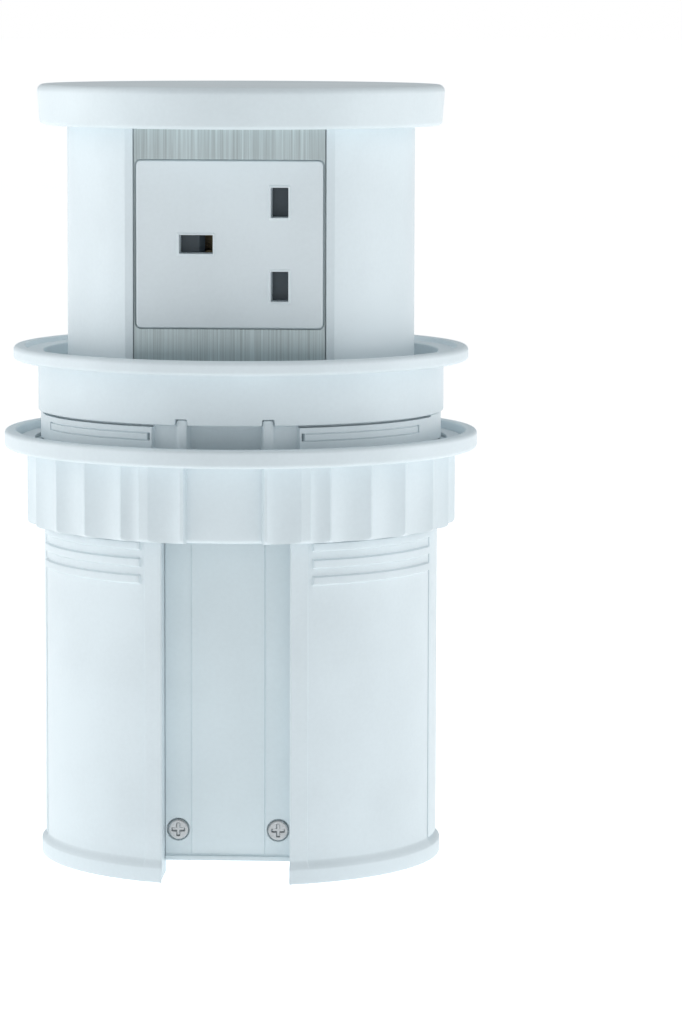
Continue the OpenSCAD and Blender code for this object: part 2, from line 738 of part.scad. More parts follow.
module front_face_plate() { face_plate(); }
module front_socket_cover() { socket_cover(); }
module front_socket_body() { socket_body(); }
module front_earth_contact() { contact(earth_x, 0, false); }
module front_line_contact() { contact(pole_x, pole_z, true); }
module front_neutral_contact() { contact(pole_x, -pole_z, true); }
module front_shutter() { shutter(); }
module front_shutter_spring() { shutter_spring(); }

module rear_face_plate() { rotate([0, 0, 180]) face_plate(); }
module rear_socket_cover() { rotate([0, 0, 180]) socket_cover(); }
module rear_socket_body() { rotate([0, 0, 180]) socket_body(); }
module rear_earth_contact() { rotate([0, 0, 180]) contact(earth_x, 0, false); }
module rear_line_contact() { rotate([0, 0, 180]) contact(pole_x, pole_z, true); }
module rear_neutral_contact() { rotate([0, 0, 180]) contact(pole_x, -pole_z, true); }
module rear_shutter() { rotate([0, 0, 180]) shutter(); }
module rear_shutter_spring() { rotate([0, 0, 180]) shutter_spring(); }

collar();
head_ring();
guide_bush();
left_shell();
right_shell();
left_side_strip();
right_side_strip();
front_channel_panel();
rear_channel_panel();
channel_panel_screws();
base_plate();
base_screws();
gland_body();
gland_nut();
gland_seal();
cord_clamp();
cord_clamp_screws();
terminal_block();
terminal_screws();
inner_lead();
slip_washer();
lock_ring();
cap();
cap_carrier();
cap_screws();
column_left_shell();
column_right_shell();
column_base();
column_top_screws();
column_base_screws();
felt_pads();
front_face_plate();
front_socket_cover();
front_socket_body();
front_earth_contact();
front_line_contact();
front_neutral_contact();
front_shutter();
front_shutter_spring();
rear_face_plate();
rear_socket_cover();
rear_socket_body();
rear_earth_contact();
rear_line_contact();
rear_neutral_contact();
rear_shutter();
rear_shutter_spring();
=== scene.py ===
"""Pull-up desk power tower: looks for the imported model, laid out as a Blender add-on.

Every piece is worked out in the model's own frame: +Z is up, the front faces -Y, and Z = 0 is the
worktop's upper surface. Angles are counted from the front towards +X, in degrees, and lengths
inside the functions are in millimetres.
"""

import math

import bmesh
import bpy
import numpy as np
from mathutils import Matrix, Vector


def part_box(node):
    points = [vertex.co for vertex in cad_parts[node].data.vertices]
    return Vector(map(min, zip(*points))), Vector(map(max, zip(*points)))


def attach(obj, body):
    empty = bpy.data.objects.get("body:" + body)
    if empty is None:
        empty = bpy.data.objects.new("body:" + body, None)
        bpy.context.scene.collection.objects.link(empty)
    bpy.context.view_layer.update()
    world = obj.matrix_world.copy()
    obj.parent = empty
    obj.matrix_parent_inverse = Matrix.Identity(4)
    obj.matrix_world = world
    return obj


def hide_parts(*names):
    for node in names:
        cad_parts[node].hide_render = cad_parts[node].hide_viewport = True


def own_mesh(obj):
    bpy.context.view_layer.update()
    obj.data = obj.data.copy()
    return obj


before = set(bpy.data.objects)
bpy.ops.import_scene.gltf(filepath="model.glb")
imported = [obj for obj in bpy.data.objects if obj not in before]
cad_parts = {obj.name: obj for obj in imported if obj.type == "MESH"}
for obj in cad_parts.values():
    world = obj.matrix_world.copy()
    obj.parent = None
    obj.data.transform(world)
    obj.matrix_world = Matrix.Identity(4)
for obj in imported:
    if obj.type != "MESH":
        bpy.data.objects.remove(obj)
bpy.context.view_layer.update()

bl_info = {
    "name": "Desk power tower",
    "version": (1, 0, 0),
    "blender": (4, 5, 0),
    "location": "View3D > Sidebar > Power tower",
    "description": "Surfaces and finishes of a pull-up desk power tower",
    "category": "Object",
}

MM = 0.001

# Flutes of the lock ring's grip from the front round to one side: both edges' angles, and the depth
FLUTES = (
    (11.3, 20.2, 1.6), (22.7, 28.1, 1.1), (28.5, 40.4, 2.0), (40.8, 52.7, 2.0),
    (53.1, 66.0, 2.0), (66.4, 77.9, 2.0), (78.3, 89.8, 2.0),
)

# Grid marks of a shell, from the front: the thread's two ends, and the side strip's two edges
SHELL_ANGLES = (25.2, 75, 76, 104)

# Snap latches of the head ring, from the front: start, near pocket, far pocket, end, and the gap's end
HEAD_ANGLES = (21.6, 22.3, 64.7, 65.4, 74)

# Depths of the head ring's two grooves below its band's top, and half of a groove's width
GROOVES, GROOVE_HALF = (2.15, 4.05), 0.14

# How far round the axis each side's piece is turned from the one that is worked out
SIDE_TURNS = {"right": 0, "left": 180, "front": 0, "rear": 180}


# ---- Sizes and colours ----

def length(label, note, default):
    """Length property with its default given in millimetres."""
    return bpy.props.FloatProperty(
        name=label, description=note, default=default * MM, min=0, unit="LENGTH", subtype="DISTANCE")


def angle(label, note, default):
    """Angle property with its default given in degrees."""
    return bpy.props.FloatProperty(
        name=label, description=note, default=math.radians(default), subtype="ANGLE", unit="ROTATION")


def colour(label, note, default):
    """Colour property, linear red, green and blue."""
    return bpy.props.FloatVectorProperty(
        name=label, description=note, default=default, size=3, min=0, max=1, subtype="COLOR")


class TowerSizes(bpy.types.PropertyGroup):
    """Sizes of the moulded details that the frame's boxes don't give."""

    edge: length("Edge radius", "Radius of the mouldings' outer edges", 0.35)
    skirt_d: length("Skirt", "Diameter of the collar's skirt", 111)
    opening_d: length("Collar opening", "Diameter of the opening inside the collar", 107.8)
    ledge_d: length("Cap ledge", "Diameter of the sunk ledge that the cap lands on", 117.1)
    ledge_drop: length("Ledge depth", "Depth of the cap's ledge below the collar's top", 1.2)
    bore_d: length("Tube bore", "Inner diameter of the tube", 104.2)
    sleeve_d: length("Sleeve", "Outer diameter of the head ring's sleeve", 107.2)
    key_angle: angle("Key rib", "Angle of each key rib's middle from the front or the rear", 12)
    key_width: angle("Key rib width", "Angle across one key rib", 2.8)
    sector: angle("Plain sector", "Edge of the head ring's plain front sector", 20.8)
    shell_d: length("Shells", "Outer diameter of the tube's shells", 107.4)
    channel_w: length("Channel", "Width of the flat channels", 34)
    border_w: length("Border", "Width of the raised border beside a channel", 4.7)
    border_rise: length("Border height", "How far the border stands proud of the shell", 0.4)
    thread_pitch: length("Thread pitch", "Distance from one thread turn to the next", 4.5)
    thread_rise: length("Thread height", "How far the thread stands proud of the shell", 0.65)
    thread_turns: bpy.props.IntProperty(
        name="Thread turns", description="Number of thread turns on the shells",
        default=8, min=1, max=9)
    grip_d: length("Grip", "Diameter of the lock ring's fluted grip", 117.5)
    ring_bore_d: length("Ring bore", "Inner diameter of the lock ring", 110.4)
    dish_d: length("Ring dish", "Diameter of the dish in the lock ring's top", 122)
    dish_depth: length("Dish depth", "Depth of the lock ring's dish", 3.2)
    grip_panel: angle("Grip panel", "Half of the plain panel between the flutes", 10.3)
    bevel_w: length("Column bevel", "Width of the bevel beside each socket face", 2.2)
    wall: length("Column wall", "Thickness of the column's shells", 2)
    window_gap: length("Window gap", "Gap between a socket's cover and its face plate", 0.34)
    rim_rise: length("Slot rim", "How far the rim of each slot stands proud", 0.3)
    spring_wire: length("Spring wire", "Diameter of the shutter springs' wire", 0.44)
    spring_turns: bpy.props.FloatProperty(
        name="Spring turns", description="Turns of each shutter spring", default=7)
    lead_d: length("Inner lead", "Diameter of the coiled lead", 6)
    lead_turns: bpy.props.FloatProperty(
        name="Lead turns", description="Turns of the coiled lead", default=3.5)


class TowerColours(bpy.types.PropertyGroup):
    """Colours of the finishes."""

    collar: colour("Collar", "Collar, head ring and column", (0.735, 0.815, 0.85))
    tube: colour("Tube", "Tube's shells", (0.72, 0.8, 0.835))
    strip: colour("Side strips", "Strips let into the tube's sides", (0.70, 0.785, 0.82))
    panel: colour("Channel panels", "Channel panels and inner mouldings", (0.74, 0.835, 0.87))
    ring: colour("Lock ring", "Lock ring", (0.725, 0.805, 0.84))
    cap: colour("Cap", "Cap on the column", (0.74, 0.82, 0.852))
    cover: colour("Socket covers", "Socket covers", (0.76, 0.83, 0.86))
    guide: colour("Guide", "Guide bush and slip washer", (0.66, 0.72, 0.75))
    grey: colour("Grey mouldings", "Gland, clamp and socket bodies", (0.38, 0.43, 0.46))
    shutter: colour("Shutters", "Safety shutters", (0.075, 0.095, 0.11))
    lead: colour("Lead", "Sheath of the inner lead", (0.7, 0.72, 0.72))
    aluminium: colour("Face plates", "Brushed aluminium", (0.53, 0.605, 0.615))
    steel: colour("Screws", "Zinc plated steel", (0.5, 0.52, 0.53))
    brass: colour("Contacts", "Dulled stamped brass", (0.24, 0.2, 0.13))
    rubber: colour("Seal", "Rubber seal", (0.012, 0.012, 0.014))
    felt: colour("Pads", "Pressed felt", (0.17, 0.19, 0.21))


def sizes():
    """The sizes in millimetres and degrees, by name."""
    group = bpy.context.scene.tower_sizes
    found = {}
    for name, kind in group.bl_rna.properties.items():
        if kind.type in {"FLOAT", "INT"}:
            value = getattr(group, name)
            unit = {"ANGLE": math.radians(1), "DISTANCE": MM}.get(kind.subtype, 1)
            found[name] = value / unit
    return found


def span(node):
    """Lowest and highest corner of a CAD node, in millimetres."""
    low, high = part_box(node)
    return np.array(low) / MM, np.array(high) / MM


# ---- Curves and grids ----

def smooth(x):
    """S-curve from 0 at 0 to 1 at 1: three x squared less two x cubed."""
    x = np.clip(x, 0, 1)
    return x * x * (3 - 2 * x)


def band(x, low, high, soft):
    """One between low and high and zero outside, with an S-curve as wide as soft over both ends."""
    return smooth((x - low) / soft + 0.5) * smooth((high - x) / soft + 0.5)


def lines(low, high, step, marks=(), soft=0.3):
    """Grid lines from low to high: even ones at most a step apart, and seven across each mark."""
    across = np.linspace(-0.6, 0.6, 7) * soft
    even = np.linspace(low, high, max(2, math.ceil((high - low) / step) + 1))
    found = np.concatenate([even] + [mark + across for mark in marks])
    found = np.unique(np.clip(found, low, high))
    kept = found[np.append(True, np.diff(found) > soft * 0.04)]
    kept[-1] = high
    return kept


def edge_lines(low, high, radius):
    """Grid lines of the quarter circles at both ends of a wall: radius times one less the sine."""
    arc = radius * (1 - np.sin(np.radians(np.linspace(0, 90, 6))))
    return np.concatenate((low + arc, high - arc))


def edge_drop(x, low, high, radius):
    """How far rounded ends fall back: radius less the root of its square less the overlap's square."""
    past = np.clip(radius - np.minimum(x - low, high - x), 0, radius)
    return radius - np.sqrt(radius ** 2 - past ** 2)


def fold(degrees):
    """Angle from the front or the rear, whichever is nearer."""
    return np.abs((degrees + 90) % 180 - 90)


def all_round(degrees):
    """Angles counted from the front, carried to both sides of the front and of the rear."""
    return np.concatenate([
        base + side * np.array(degrees) for base in (0, 180, 360) for side in (-1, 1)])


def polar(radius, degrees, height):
    """Points at a radius and a height: radius times the sine, less radius times the cosine."""
    radius, turn, height = np.broadcast_arrays(radius, np.radians(degrees), height)
    return np.stack((radius * np.sin(turn), -radius * np.cos(turn), height), axis=-1)


def outline(corners, closed=True, steps=6, guard=0.12):
    """Outline through (x, y, radius) corners: each becomes an arc that touches both of its sides.

    The arc's middle lies on the corner's bisector, and its points swing evenly from one side's
    normal to the other's. A point just before and after each arc keeps the flat sides flat.
    """
    corners = np.array(corners, float)
    here, radius = corners[:, :2], corners[:, 2:]
    before = np.roll(here, 1, axis=0) - here
    after = np.roll(here, -1, axis=0) - here
    before /= np.linalg.norm(before, axis=1, keepdims=True)
    after /= np.linalg.norm(after, axis=1, keepdims=True)
    half = np.arccos(np.clip(np.sum(before * after, axis=1, keepdims=True), -1, 1)) / 2
    reach = radius / np.tan(half)
    bisector = (before + after) / np.linalg.norm(before + after, axis=1, keepdims=True)
    middle = here + bisector * radius / np.sin(half)
    first = (here + before * reach - middle)[:, None]
    last = (here + after * reach - middle)[:, None]
    swing = (math.pi - 2 * half)[:, None]
    share = np.linspace(0, 1, steps)[None, :, None]
    arcs = middle[:, None] + (
        np.sin((1 - share) * swing) * first + np.sin(share * swing) * last) / np.sin(swing)
    start = (here + before * (reach + guard))[:, None]
    end = (here + after * (reach + guard))[:, None]
    path = np.concatenate((start, arcs, end), axis=1)
    if closed:
        path = path.reshape(-1, 2)
        return np.concatenate((path, path[:1]))
    return np.concatenate((here[:1], path[1:-1].reshape(-1, 2), here[-1:]))


def circle_path(radius, start, stop, step):
    """Points of an upright wall's plan along a circle, from one angle to another."""
    turns = np.radians(np.linspace(start, stop, max(2, math.ceil(abs(stop - start) / step) + 1)))
    return np.column_stack((radius * np.sin(turns), -radius * np.cos(turns)))


def path_normals(path):
    """Unit normals on the outer side of a plan that runs from the front by +X to the rear."""
    step = np.gradient(path, axis=0)
    step /= np.linalg.norm(step, axis=1, keepdims=True)
    return np.column_stack((step[:, 1], -step[:, 0]))


def turned(points, degrees):
    """Points turned about the upright axis."""
    c, s = math.cos(math.radians(degrees)), math.sin(math.radians(degrees))
    return points @ np.array([[c, s, 0], [-s, c, 0], [0, 0, 1]])


# ---- Grids to meshes ----

def quad_corners(number):
    """The four corners of each quad between neighbouring lines, from the grid of point numbers."""
    return np.stack((number[:-1, :-1], number[:-1, 1:], number[1:, 1:], number[1:, :-1]), axis=-1)


def skin(points):
    """Points and quads of one grid; lines that meet are merged later."""
    rows, columns = points.shape[:2]
    number = np.arange(rows * columns).reshape(rows, columns)
    return points.reshape(-1, 3), quad_corners(number).reshape(-1, 4)


def slab(front, back, keep=None):
    """Closed body between two grids of one size: both sheets, and walls round all that is kept."""
    rows, columns = front.shape[:2]
    keep = np.ones((rows - 1, columns - 1), bool) if keep is None else keep
    number = np.arange(rows * columns).reshape(rows, columns)
    sheet = quad_corners(number)[keep]
    padded = np.pad(keep, 1)
    across = padded[1:, 1:-1] != padded[:-1, 1:-1]
    along = padded[1:-1, 1:] != padded[1:-1, :-1]
    one = np.concatenate((number[:, :-1][across], number[:-1, :][along]))
    two = np.concatenate((number[:, 1:][across], number[1:, :][along]))
    count = rows * columns
    walls = np.column_stack((one, two, two + count, one + count))
    points = np.concatenate((front.reshape(-1, 3), back.reshape(-1, 3)))
    return points, np.concatenate((sheet, sheet + count, walls))


def tidy_mesh(mesh, dissolve=False):
    """Merges doubles, turns every face outwards and shades soft edges smooth."""
    work = bmesh.new()
    work.from_mesh(mesh)
    bmesh.ops.remove_doubles(work, verts=work.verts, dist=1e-6)
    bmesh.ops.dissolve_degenerate(work, edges=work.edges, dist=1e-7)
    if dissolve:
        bmesh.ops.dissolve_limit(
            work, angle_limit=math.radians(0.5), verts=work.verts, edges=work.edges)
    bmesh.ops.recalc_face_normals(work, faces=work.faces)
    work.to_mesh(mesh)
    work.free()
    mesh.polygons.foreach_set("use_smooth", np.ones(len(mesh.polygons), bool))
    mesh.set_sharp_from_angle(angle=math.radians(38))


def piece(name, bodies, body, slot, *nodes):
    """Makes one piece from grids in millimetres, gives it its body and its slot's finish, and hides the
    nodes that it stands for.
    """
    sizes_before = np.cumsum([0] + [len(points) for points, _ in bodies])
    points = np.concatenate([points for points, _ in bodies]) * MM
    quads = np.concatenate([quads + start for (_, quads), start in zip(bodies, sizes_before)])
    mesh = bpy.data.meshes.new(name)
    mesh.vertices.add(len(points))
    mesh.vertices.foreach_set("co", points.astype(np.float32).ravel())
    mesh.loops.add(quads.size)
    mesh.loops.foreach_set("vertex_index", quads.astype(np.int32).ravel())
    mesh.polygons.add(len(quads))
    mesh.polygons.foreach_set("loop_start", np.arange(0, quads.size, 4, dtype=np.int32))
    mesh.update(calc_edges=True)
    tidy_mesh(mesh)
    return settle(bpy.data.objects.new(name, mesh), body, slot, *nodes)


def settle(made, body, slot, *nodes):
    """Links a piece, gives it its body and its slot's finish, and hides the nodes that it stands for.
    """
    bpy.context.scene.collection.objects.link(made)
    made.data.materials.clear()
    made.data.materials.append(finish_for(slot))
    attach(made, body)
    if nodes:
        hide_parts(*nodes)
    return made


def sided(made, side, node, form, body, slot):
    """One side's piece: a body as it was worked out, or turned half round for the left or the rear."""
    points, quads = made
    return piece(f"{node}_{form}", [(turned(points, SIDE_TURNS[side]), quads)], body, slot, node)


def softened(node, name, width, body, slot):
    """Copy of a CAD node with its points merged and a small round on its hard edges."""
    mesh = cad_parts[node].data.copy()
    mesh.name = name
    tidy_mesh(mesh, dissolve=True)
    made = bpy.data.objects.new(name, mesh)
    bevel = made.modifiers.new("Edge round", "BEVEL")
    bevel.width = width * MM
    bevel.segments = 2
    bevel.limit_method = "ANGLE"
    bevel.angle_limit = math.radians(40)
    bevel.harden_normals = True
    return settle(made, body, slot, node)


# ---- Finishes ----

def blank_finish(name):
    """New material with an empty node tree but for its shader."""
    made = bpy.data.materials.new(name)
    made.use_nodes = True
    tree = made.node_tree
    tree.nodes.clear()
    shader = tree.nodes.new("ShaderNodeBsdfPrincipled")
    output = tree.nodes.new("ShaderNodeOutputMaterial")
    tree.links.new(shader.outputs["BSDF"], output.inputs["Surface"])
    return made, tree, shader


def noise(tree, scale, stretch=(1, 1, 1), detail=3.0, roughness=0.5):
    """Noise over the piece's own coordinates; stretch is the pattern's frequency along each axis."""
    place = tree.nodes.new("ShaderNodeTexCoord")
    mapping = tree.nodes.new("ShaderNodeMapping")
    mapping.inputs["Scale"].default_value = stretch
    found = tree.nodes.new("ShaderNodeTexNoise")
    found.inputs["Scale"].default_value = scale
    found.inputs["Detail"].default_value = detail
    found.inputs["Roughness"].default_value = roughness
    tree.links.new(place.outputs["Object"], mapping.inputs["Vector"])
    tree.links.new(mapping.outputs["Vector"], found.inputs["Vector"])
    return found.outputs["Fac"]


def between(tree, value, low, high, source=(0.3, 0.7)):
    """Value carried from the source range to low and high."""
    step = tree.nodes.new("ShaderNodeMapRange")
    step.inputs["From Min"].default_value, step.inputs["From Max"].default_value = source
    step.inputs["To Min"].default_value, step.inputs["To Max"].default_value = low, high
    tree.links.new(value, step.inputs["Value"])
    return step.outputs["Result"]


def added(tree, value, share, other):
    """A value times a share, plus another value."""
    blend = tree.nodes.new("ShaderNodeMath")
    blend.operation = "MULTIPLY_ADD"
    blend.inputs[1].default_value = share
    tree.links.new(value, blend.inputs[0])
    tree.links.new(other, blend.inputs[2])
    return blend.outputs[0]


def tint(tree, shader, value, low, high):
    """Base colour mixed from low to high by a value."""
    mix = tree.nodes.new("ShaderNodeMix")
    mix.data_type = "RGBA"
    mix.inputs["A"].default_value = (*low, 1)
    mix.inputs["B"].default_value = (*high, 1)
    tree.links.new(value, mix.inputs["Factor"])
    tree.links.new(mix.outputs["Result"], shader.inputs["Base Color"])


def bump(tree, shader, height, depth, strength=1.0):
    """Bump of a depth in millimetres on the shader's normal."""
    step = tree.nodes.new("ShaderNodeBump")
    step.inputs["Distance"].default_value = depth * MM
    step.inputs["Strength"].default_value = strength
    tree.links.new(height, step.inputs["Height"])
    tree.links.new(step.outputs["Normal"], shader.inputs["Normal"])


def moulded_plastic(name, base, gloss=0.42, grain=0.012, drift=0.035):
    """Satin moulding: a broad drift of tone, faint flow specks, eroded grain and uneven gloss."""
    made, tree, shader = blank_finish(name)
    base = np.array(base[:])
    broad = between(tree, noise(tree, 34, detail=2), 0, 1)
    specks = between(tree, noise(tree, 900, detail=2), 0, 1)
    tint(tree, shader, added(tree, specks, 0.3, broad), base * (1 - drift),
         np.minimum(base * (1 + drift), 1))
    tree.links.new(between(tree, noise(tree, 260, detail=4), gloss - 0.05, gloss + 0.06),
                   shader.inputs["Roughness"])
    shader.inputs["IOR"].default_value = 1.49
    shader.inputs["Specular IOR Level"].default_value = 0.42
    bump(tree, shader, noise(tree, 3400, detail=3), grain, 0.5)
    return made


def brushed_plate(name, base):
    """Aluminium brushed upright: fine streaks that are long along Z, in tone, gloss and bump."""
    made, tree, shader = blank_finish(name)
    base = np.array(base[:])
    fine = noise(tree, 1, (4200, 4200, 26), 4, 0.75)
    wide = noise(tree, 1, (1500, 1500, 9), 3, 0.6)
    streaks = added(tree, between(tree, fine, 0, 1), 0.6, between(tree, wide, 0, 0.5))
    tint(tree, shader, streaks, base * 0.6, np.minimum(base * 1.3, 1))
    tree.links.new(between(tree, fine, 0.34, 0.52), shader.inputs["Roughness"])
    shader.inputs["Metallic"].default_value = 0.9
    bump(tree, shader, fine, 0.012, 0.6)
    return made


def plated_metal(name, base, gloss=0.3, scale=420):
    """Metal with a faint mottle in its tone and gloss."""
    made, tree, shader = blank_finish(name)
    base = np.array(base[:])
    mottle = noise(tree, scale, detail=5, roughness=0.6)
    tint(tree, shader, between(tree, mottle, 0, 1), base * 0.82, np.minimum(base * 1.12, 1))
    tree.links.new(between(tree, mottle, gloss - 0.06, gloss + 0.14), shader.inputs["Roughness"])
    shader.inputs["Metallic"].default_value = 1.0
    bump(tree, shader, noise(tree, 2600, detail=2), 0.008, 0.5)
    return made


def pressed_felt(name, base):
    """Felt: short crossed fibres in tone and bump, with a soft sheen."""
    made, tree, shader = blank_finish(name)
    base = np.array(base[:])
    fibres = noise(tree, 1, (2600, 2600, 5200), 6, 0.75)
    tint(tree, shader, between(tree, fibres, 0, 1), base * 0.6, base * 1.4)
    shader.inputs["Roughness"].default_value = 0.95
    shader.inputs["Sheen Weight"].default_value = 0.4
    bump(tree, shader, fibres, 0.12, 0.8)
    return made


def rubber(name, base):
    """Black rubber with a dull bloom."""
    made, tree, shader = blank_finish(name)
    base = np.array(base[:])
    bloom = noise(tree, 300, detail=4)
    tint(tree, shader, between(tree, bloom, 0, 1), base * 0.8, base * 1.9)
    tree.links.new(between(tree, bloom, 0.55, 0.72), shader.inputs["Roughness"])
    bump(tree, shader, noise(tree, 2200, detail=2), 0.015, 0.5)
    return made


FINISHES = {}


def finish_for(slot):
    """The material of a slot, made when it is first asked for."""
    if slot in FINISHES:
        return FINISHES[slot]
    paint = bpy.context.scene.tower_colours
    makers = {
        "white_plastic": lambda name: moulded_plastic(name, paint.collar),
        "tube_plastic": lambda name: moulded_plastic(name, paint.tube, 0.45),
        "strip_plastic": lambda name: moulded_plastic(name, paint.strip, 0.4),
        "panel_plastic": lambda name: moulded_plastic(name, paint.panel, 0.46),
        "ring_plastic": lambda name: moulded_plastic(name, paint.ring, 0.38),
        "cap_plastic": lambda name: moulded_plastic(name, paint.cap, 0.36),
        "cover_plastic": lambda name: moulded_plastic(name, paint.cover, 0.34, grain=0.006),
        "guide_plastic": lambda name: moulded_plastic(name, paint.guide, 0.4),
        "grey_plastic": lambda name: moulded_plastic(name, paint.grey, 0.48),
        "shutter_plastic": lambda name: moulded_plastic(name, paint.shutter, 0.36, drift=0.1),
        "lead_jacket": lambda name: moulded_plastic(name, paint.lead, 0.55, grain=0.02),
        "brushed_aluminium": lambda name: brushed_plate(name, paint.aluminium),
        "screw_steel": lambda name: plated_metal(name, paint.steel),
        "spring_steel": lambda name: plated_metal(name, paint.steel, 0.22, 900),
        "contact_brass": lambda name: plated_metal(name, paint.brass, 0.26),
        "seal_rubber": lambda name: rubber(name, paint.rubber),
        "pad_felt": lambda name: pressed_felt(name, paint.felt),
    }
    FINISHES[slot] = makers[slot](slot)
    return FINISHES[slot]


# ---- Housing ----

def collar_body(s):
    """Collar: a rounded profile turned about the axis; key notches lift its lower edge."""
    low, high = span("collar")
    skirt, opening, ledge = s["skirt_d"] / 2, s["opening_d"] / 2, s["ledge_d"] / 2
    ledge_z = high[2] - s["ledge_drop"]
    profile = outline([
        (opening, low[2], 0.25), (skirt, low[2], 0.3), (skirt, 0, 0.25), (high[0], 0, 0.9),
        (high[0], high[2], 1.2), (ledge + 0.55, high[2], 0.45), (ledge, ledge_z, 0.2),
        (opening, ledge_z, 0.45)])
    key, half, soft = s["key_angle"], s["key_width"] / 2, 0.35
    edges = (key - half - soft, key + half + soft)
    turns = lines(0, 360, 1.5, all_round(edges), soft)
    notch_h = 1.6 * band(fold(turns), edges[0], edges[1], soft)
    height = profile[:, 1:] + notch_h * (profile[:, 1:] < low[2] + 0.8)
    return [skin(polar(profile[:, :1], turns[None], height))]


def head_relief(degrees, height, top, s, radius):
    """Depth of the head ring's outside: plain sectors, flat pockets, a shadow gap and snap latches."""
    away = fold(degrees)
    key, half, sector = s["key_angle"], s["key_width"] / 2, s["sector"]
    rib = band(away, key - half, key + half, 0.3)
    plain = 1.4 * band(away, -1, sector, 0.35) * (1 - rib)
    inside = band(away, -1, key - half, 0.3)
    flat_y = 50
    pocket = (radius - flat_y / np.cos(np.radians(np.minimum(away, key)))) * inside
    start, near_end, far_start, stop, gap_end = HEAD_ANGLES
    soft = 0.12
    gap = 1.9 * band(away, sector, gap_end, 0.4) * band(height, top - 0.5, top + 1, soft)
    long = band(away, start, stop, 0.2)
    high_line, low_line = top - GROOVES[0], top - GROOVES[1]
    groove = 0.4 * long * (band(height, high_line - GROOVE_HALF, high_line + GROOVE_HALF, soft)
                           + band(height, low_line - GROOVE_HALF, low_line + GROOVE_HALF, soft))
    latch = band(height, low_line, high_line, soft)
    near = 2.2 * latch * band(away, start, near_end, 0.2)
    far = 1.2 * latch * band(away, far_start, stop, 0.2)
    return np.max(np.broadcast_arrays(plain, pocket, gap, groove, near, far), axis=0)


def head_ring_body(s):
    """Head ring: a closed profile turned about the axis, with the band's relief and four key ribs."""
    low, high = span("head_ring")
    radius, bore, sleeve = high[0], s["bore_d"] / 2, s["sleeve_d"] / 2
    band_top, lip, lip_top, lip_foot = -13.85, 50.5, -5.4, -7.2
    marks = [band_top - 0.5, *(band_top - depth + side * GROOVE_HALF
                               for depth in GROOVES for side in (1, -1))]
    rows = np.unique(np.concatenate((
        lines(low[2], band_top, 0.8, marks, 0.14), edge_lines(low[2], band_top, 0.25))))
    outer = np.column_stack((radius - edge_drop(rows, low[2], band_top, 0.25), rows))
    inner = outline([
        (sleeve, band_top, 0.1), (sleeve, high[2], 0.3), (bore, high[2], 0.3), (bore, lip_top, 0.1),
        (lip, lip_top, 0.3), (lip, lip_foot, 0.3), (bore, lip_foot, 0.1), (bore, low[2], 0.3)],
        closed=False)
    profile = np.concatenate((outer, inner[:-1], [[bore, low[2]]], outer[:1]))
    key, half, sector = s["key_angle"], s["key_width"] / 2, s["sector"]
    flat_end, flat_y = 13.4, 48.5
    steps = [flat_end, key - half, key + half, sector, *HEAD_ANGLES]
    turns = lines(0, 360, 1.5, all_round(steps), 0.3)
    depth = head_relief(turns[None], profile[:, 1:], band_top, s, radius)
    is_band = np.zeros((len(profile), 1))
    is_band[:len(outer)] = 1
    is_band[-1] = 1
    away = fold(turns)
    bore_depth = (bore - flat_y / np.cos(np.radians(away))) * band(away, -1, flat_end, 0.3)
    is_bore = (profile[:, :1] <= bore + 0.01) & (profile[:, 1:] < band_top)
    reach = profile[:, :1] - depth * is_band - np.clip(bore_depth, 0, 4)[None] * is_bore
    made = [skin(polar(reach, turns[None], profile[:, 1:]))]
    rib = outline([(sleeve - 0.4, low[2] + 0.05, 0.1), (radius, low[2] + 0.05, 0.2),
                   (radius, band_top + 1.55, 0.25), (sleeve - 0.4, band_top + 1.55, 0.1)])
    for middle in (key, -key, 180 + key, 180 - key):
        across = lines(-half, half, 0.5, (), 0.2)
        arc = across * sleeve / 57.3
        pull = edge_drop(arc, arc[0], arc[-1], 0.25)
        shrunk = rib[:, :1] - pull[None] * (rib[:, :1] > sleeve)
        grid = polar(shrunk, middle + across[None], rib[:, 1:] - pull[None] * (rib[:, 1:] > band_top))
        made.append(closed_ends(grid))
    return made


def closed_ends(grid):
    """Body of a closed profile carried along a path: its skin, with its two ends shrunk to a point."""
    first = np.broadcast_to(grid[:-1, 0].mean(axis=0), grid[:, :1].shape)
    last = np.broadcast_to(grid[:-1, -1].mean(axis=0), grid[:, :1].shape)
    return skin(np.concatenate((first, grid, last), axis=1))


def shell_plan(s):
    """Plan of one shell from the front channel's wall by +X to the rear one's: outer and inner."""
    half, shell, bore = s["channel_w"] / 2, s["shell_d"] / 2, s["bore_d"] / 2
    border = shell + s["border_rise"]
    border_x = half + s["border_w"]
    thick, wall_y = 2, -40
    inner_x = half + thick

    def on(radius, x):
        return -math.sqrt(radius ** 2 - x ** 2)

    start = math.degrees(math.asin(border_x / shell)) + 0.5
    front = outline([
        (half, wall_y, 0), (half, on(border, half), 0.4), (border_x, on(border, border_x), 0.15),
        (border_x, on(shell, border_x), 0.12), (*circle_path(shell, start, start, 1)[0], 0)],
        closed=False)
    turns = lines(start + 0.2, 90, 2, SHELL_ANGLES, 0.35)
    outer = np.concatenate((front, np.column_stack((shell * np.sin(np.radians(turns)),
                                                    -shell * np.cos(np.radians(turns))))))
    corner = math.degrees(math.asin(inner_x / bore))
    own = np.degrees(np.arctan2(outer[:, 0], -outer[:, 1]))
    inner = np.column_stack((bore * np.sin(np.radians(np.maximum(own, corner))),
                             -bore * np.cos(np.radians(np.maximum(own, corner)))))
    on_wall = outer[:, 0] < half + 0.01
    share = (outer[:, 1] - wall_y) / (on(border, half) - wall_y)
    inner[on_wall, 0] = inner_x
    inner[on_wall, 1] = wall_y + share[on_wall] * (on(bore, inner_x) - wall_y)
    flip = np.array([1, -1])
    return np.concatenate((outer, outer[-2::-1] * flip)), np.concatenate((inner, inner[-2::-1] * flip))


